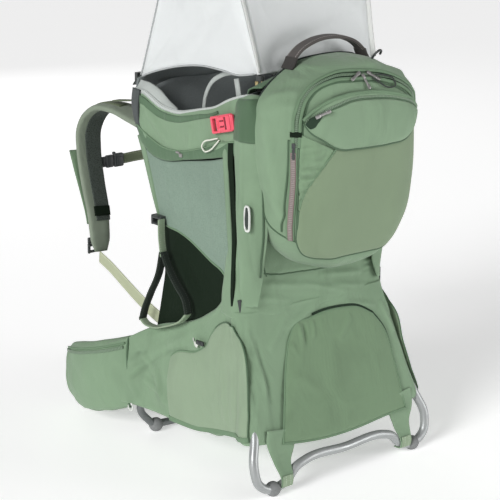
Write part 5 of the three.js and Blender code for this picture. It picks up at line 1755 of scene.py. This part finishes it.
def pouch_point(share, v, off):
    """A point over the pouch: the wing's face, drawn down to a level bottom near the body."""
    low = np.interp(share, [0.22, 0.36, 0.6, 1], [56, 40, 24, 40])
    high = np.interp(share, [0.22, 0.4, 0.6, 0.85, 1], [192, 172, 152, 128, 106])
    p = wing_point(share, 0.5, off)
    p[:2] += (wing_at(share, wing_line)[:2] - p[:2]) * (1 - (1 - abs(2 * v - 1) ** 3) ** 0.5) * 0.7
    p[2] = low + (high - low) * v
    return p


pouch = np.array([[pouch_point(s, v, 2.4) for v in np.linspace(0.0, 1.0, 34)]
                  for s in np.linspace(0.24, 0.985, 60)])
puff = bulge(pouch, 5, 0.4, 0.45) + ripple(pouch, 60, 1.2, 303) * edge_fade(pouch)
face_sign = np.sign((normals(pouch)[30, 17] @ np.array([-1.0, 0, 0])))
puff += ridges(pouch, [
    (wing_point(0.5, 0.8), wing_point(0.95, 0.7), -2.0, 6),
    (wing_point(0.5, 0.3), wing_point(0.9, 0.4), 2.0, 9),
])
pouch = pouch + normals(pouch) * face_sign * puff[..., None]
pouch_skin = pouch if face_sign > 0 else pouch[:, ::-1]
twin(skin, "hip_pouch", pouch_skin, 2.0, M["sage"], bodies=HIPS)
seam_up = on_grid(pouch, [(0.0, v) for v in np.linspace(0, 1, 40)], 0.5 * face_sign)
twin(pipe, "hip_pouch_seam", seam_up, 2.0, M["trim_deep"], count=50, bodies=HIPS)
zip_line = on_grid(pouch, [(u, 0.88) for u in np.linspace(0.03, 0.97, 50)], 0.8 * face_sign)
twin(strap, "hip_pouch_zip", zip_line, 6, 2.4, M["zip_sage"], across=(0, 0, 1), count=70,
    bodies=HIPS)
lid_line = on_grid(pouch, [(u, 0.93) for u in np.linspace(0.02, 0.98, 50)], 1.4 * face_sign)
twin(pipe, "hip_pouch_lid_piping", lid_line, 2.0, M["trim_sage"], count=70, bodies=HIPS)
ring_at = pouch_point(0.23, 0.02, 10.0)
loop = np.array([ring_at + (0, 6.5 * math.cos(a), 7.5 * math.sin(a))
                 for a in np.linspace(0, 2 * math.pi, 37)])
twin(joined, "hip_loop_ring", [sweep_part(loop, 2.6, 2.6, None, 1.0, 10)], M["white"],
    bodies=HIPS)
for word, shape in SIDES:
    body = f"hip_{word}"
    parts = [block_part((-93, 419, 80), (28, 10, 36), 3), block_part((-93, 425, 80), (16, 3, 22), 1.2)]
    web = sweep_part(spline([(-150, 400, 82), (-132, 408, 82), (-108, 417, 82)], 20), 38, 3, (0, 0, 1),
        0.35, 12)
    keep(joined(f"hip_clasp_{word}", shape(parts), M["black"], body), f"hip_buckle_{word}",
         slot="black_plastic")
    keep(joined(f"hip_web_{word}", shape([web]), M["strap_dark"], body))

# ---- Side buckles -------------------------------------------------------------------------------
TILT = rotation("x", -math.degrees(0.25))
BUCKLE = np.array([-162.0, -66, 620])


def on_buckle(centre, size, round_by):
    """A rounded block in the buckle's own axes: x out, y towards the plug, z across."""
    verts, faces = block_part((0, 0, 0), size, round_by, TILT)
    return verts + BUCKLE + TILT @ np.array(centre, float), faces


socket_parts = [on_buckle((0, -10, 0), (9, 34, 30), 3.5), on_buckle((-4.6, -20, 0), (3, 10, 24), 1.2),
                on_buckle((-4.6, -2, 9), (3, 16, 6), 1.2), on_buckle((-4.6, -2, -9), (3, 16, 6), 1.2),
                on_buckle((-4.8, -7, 0), (3, 8, 7), 1.2), on_buckle((0, -27, 0), (6, 6, 26), 2)]
plug_parts = [on_buckle((0, 26, 0), (8, 5, 29), 2), on_buckle((0, 17, 12.5), (7.5, 20, 4.5), 2),
              on_buckle((0, 17, -12.5), (7.5, 20, 4.5), 2), on_buckle((0, 11, 0), (7.5, 7, 24), 2),
              on_buckle((-3.5, 11, 0), (2.4, 4, 14), 1)]
# Painted shade: dark red patches on the socket face where its slots are.
slot_shade_parts = [on_buckle((-4.9, -12.5, 0), (1.6, 3.5, 21), 0.7),
                on_buckle((-4.9, -3, 4.6), (1.6, 10, 2.4), 0.7),
                on_buckle((-4.9, -3, -4.6), (1.6, 10, 2.4), 0.7)]
for word, shape in SIDES:
    keep(joined(f"buckle_socket_{word}", shape(socket_parts), M["red"], "carrier"),
        f"side_buckle_socket_{word}", slot="red_plastic")
    keep(joined(f"buckle_plug_{word}", shape(plug_parts), M["red"], f"plug_{word}"),
        f"side_buckle_plug_{word}", slot="red_plastic")
    keep(joined(f"buckle_slot_shade_{word}", shape(slot_shade_parts), M["red_dark"], "carrier"))
LOOP = [(-160, -50, 592), (-163, -36, 588), (-164, -16, 580), (-164, -12, 573), (-164, -18, 566),
    (-164, -34, 570), (-163, -48, 582), (-160, -54, 590)]
loop_path = spline(LOOP, 90)
draw_cords = twin(joined, "side_pull_cord", [sweep_part(loop_path, 2.8, 2.8, None, 1.0, 12)], M["cord"])
slider = [block_part((-159.5, 52, 546), (4, 8, 7), 1.4), block_part((-160, 60, 550), (3, 10, 4), 1.2)]
twin(joined, "side_pocket_slider", slider, M["silver"])

# ---- Stirrups -----------------------------------------------------------------------------------
strands = [[(-167, 97, 366), (-167, 108, 326), (-167, 136, 278), (-167, 154, 244), (-167, 160, 226)],
           [(-167, 94, 366), (-167, 82, 344), (-167, 56, 314), (-167, 32, 290), (-167, 26, 268)]]
foot_loop = spline([(-167, 162, 230), (-167, 150, 222), (-167, 128, 220), (-167, 84, 232),
                    (-167, 40, 254), (-167, 26, 268)], 60)
hanger = spline([(-167, 100, 424), (-167, 100, 395), (-167, 95, 358)], 30)
bands = [sweep_part(foot_loop, 15, 3.4, (1, 0, 0), 0.35, 12),
         sweep_part(hanger, 15, 2.6, (1, 0, 0.1), 0.35, 12)]
lock = [block_part((-158, 118, 424), (18, 26, 5), 2), block_part((-158, 118, 412), (18, 22, 4), 1.8),
        block_part((-158, 130, 418), (16, 5, 18), 1.8), block_part((-158, 106, 418), (16, 5, 18), 1.8)]
for word, shape in SIDES:
    dark = [sweep_part(spline(line, 50), 16, 4.6, (1, 0, 0), 0.5, 14) for line in strands]
    body = f"stirrup_{word}_body"
    keep(joined(f"stirrup_strands_{word}", shape(dark), M["strap_dark"], body), f"stirrup_{word}",
        slot="webbing")
    keep(joined(f"stirrup_band_{word}", shape(bands), M["strap_sage"], body))
    keep(joined(f"stirrup_lock_{word}", shape(lock), M["black"], body))

# ---- Base of the lower compartment --------------------------------------------------------------
under = lofted([[(-158, 94, 58), (0, 94, 56), (158, 94, 58)], [(-157, 20, 58), (0, 20, 56), (157, 20, 58)],
                [(-158, -70, 76), (0, -76, 74), (158, -70, 76)]], 40, 30)
keep(skin("compartment_floor", under, 2.0, M["sage_dark"], "carrier"), "base_compartment", slot="sage_fabric")
front_wall = lofted([[(158, 92, 60), (0, 96, 58), (-158, 92, 60)],
    [(152, 104, 214), (0, 108, 220), (-152, 104, 214)]], 50, 26)
front_wall = lifted(front_wall, bulge(front_wall, 6, 0.5, 0.5) + ripple(front_wall, 80, 1.2, 401)
                    * edge_fade(front_wall))
keep(skin("compartment_front", front_wall, 2.0, M["sage_dark"], "carrier"), slot="sage_fabric")

tuple(metres((0, -74, 200)))
tuple(metres((0, -140, 200)))
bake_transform(lower_skin)


def free_cord(line):
    """Takes a limp free cord's line of points in millimetres, both ends in the object, into metres; the
    result is not used.
    """
    path = metres(line)


free_cord(loop_path)
free_cord(mirrored(loop_path))
free_cord(zip_loop_path)

# ---- Stage --------------------------------------------------------------------------------------
FLOOR_REACH = 60.0
FLOOR_GLOW = 0.40
SKY_LEVEL, SKY_TOP = 0.26, 0.10
SUN_STRENGTH, SUN_SPREAD = 2.45, 25
SUN_DIRECTION = (0.88, 0.20, -0.42)
FILL_WATTS, FILL_SIZE = 62, 1.8
FRONT_WATTS, FRONT_SIZE = 14, 2.0

floor_mesh = bpy.data.meshes.new("floor")
corners = [(x * FLOOR_REACH, y * FLOOR_REACH, 0) for x, y in ((-1, -1), (1, -1), (1, 1), (-1, 1))]
floor_mesh.from_pydata(corners, [], [(0, 1, 2, 3)])
n = Nodes("studio_floor")
tone = n.noise(1.5, 3)
floor_colour = n.mix(tone, (0.955, 0.955, 0.955, 1), (0.965, 0.965, 0.965, 1))
floor_mesh.materials.append(n.finish(Base_Color=floor_colour, Roughness=0.75,
                                     Emission_Color=(1, 1, 1, 1), Emission_Strength=FLOOR_GLOW))
floor = bpy.data.objects.new("floor", floor_mesh)
scene.collection.objects.link(floor)

world = bpy.data.worlds.new("studio")
world.use_nodes = True
world.node_tree.nodes["Background"].inputs[0].default_value = (1.0, 1.0, 1.0, 1)
sky = world.node_tree.nodes.new("ShaderNodeTexCoord")
rise = world.node_tree.nodes.new("ShaderNodeSeparateXYZ")
fade = world.node_tree.nodes.new("ShaderNodeMapRange")
world.node_tree.links.new(sky.outputs["Generated"], rise.inputs[0])
world.node_tree.links.new(rise.outputs[2], fade.inputs[0])
world.node_tree.links.new(fade.outputs[0], world.node_tree.nodes["Background"].inputs[1])
fade.inputs[3].default_value, fade.inputs[4].default_value = SKY_LEVEL, SKY_TOP
scene.world = world
scene.view_settings.view_transform = "Standard"


def lamp(name, place, aim, power, size):
    """A square white area lamp at place, turned to aim."""
    data = bpy.data.lights.new(name, "AREA")
    data.energy, data.size = power, size
    obj = bpy.data.objects.new(name, data)
    scene.collection.objects.link(obj)
    obj.location = Vector(place)
    obj.rotation_mode = "QUATERNION"
    obj.rotation_quaternion = (Vector(aim) - Vector(place)).to_track_quat("-Z", "Y")


sun = bpy.data.lights.new("window", "SUN")
sun.energy, sun.angle = SUN_STRENGTH, math.radians(SUN_SPREAD)
sun_lamp = bpy.data.objects.new("window", sun)
scene.collection.objects.link(sun_lamp)
sun_lamp.rotation_mode = "QUATERNION"
sun_lamp.rotation_quaternion = Vector(SUN_DIRECTION).to_track_quat("-Z", "Y")
lamp("fill", (2.4, -3.0, 0.9), (0, -0.1, 0.4), FILL_WATTS, FILL_SIZE)
lamp("front", (1.2, 3.4, 1.5), (0, 0.1, 0.4), FRONT_WATTS, FRONT_SIZE)
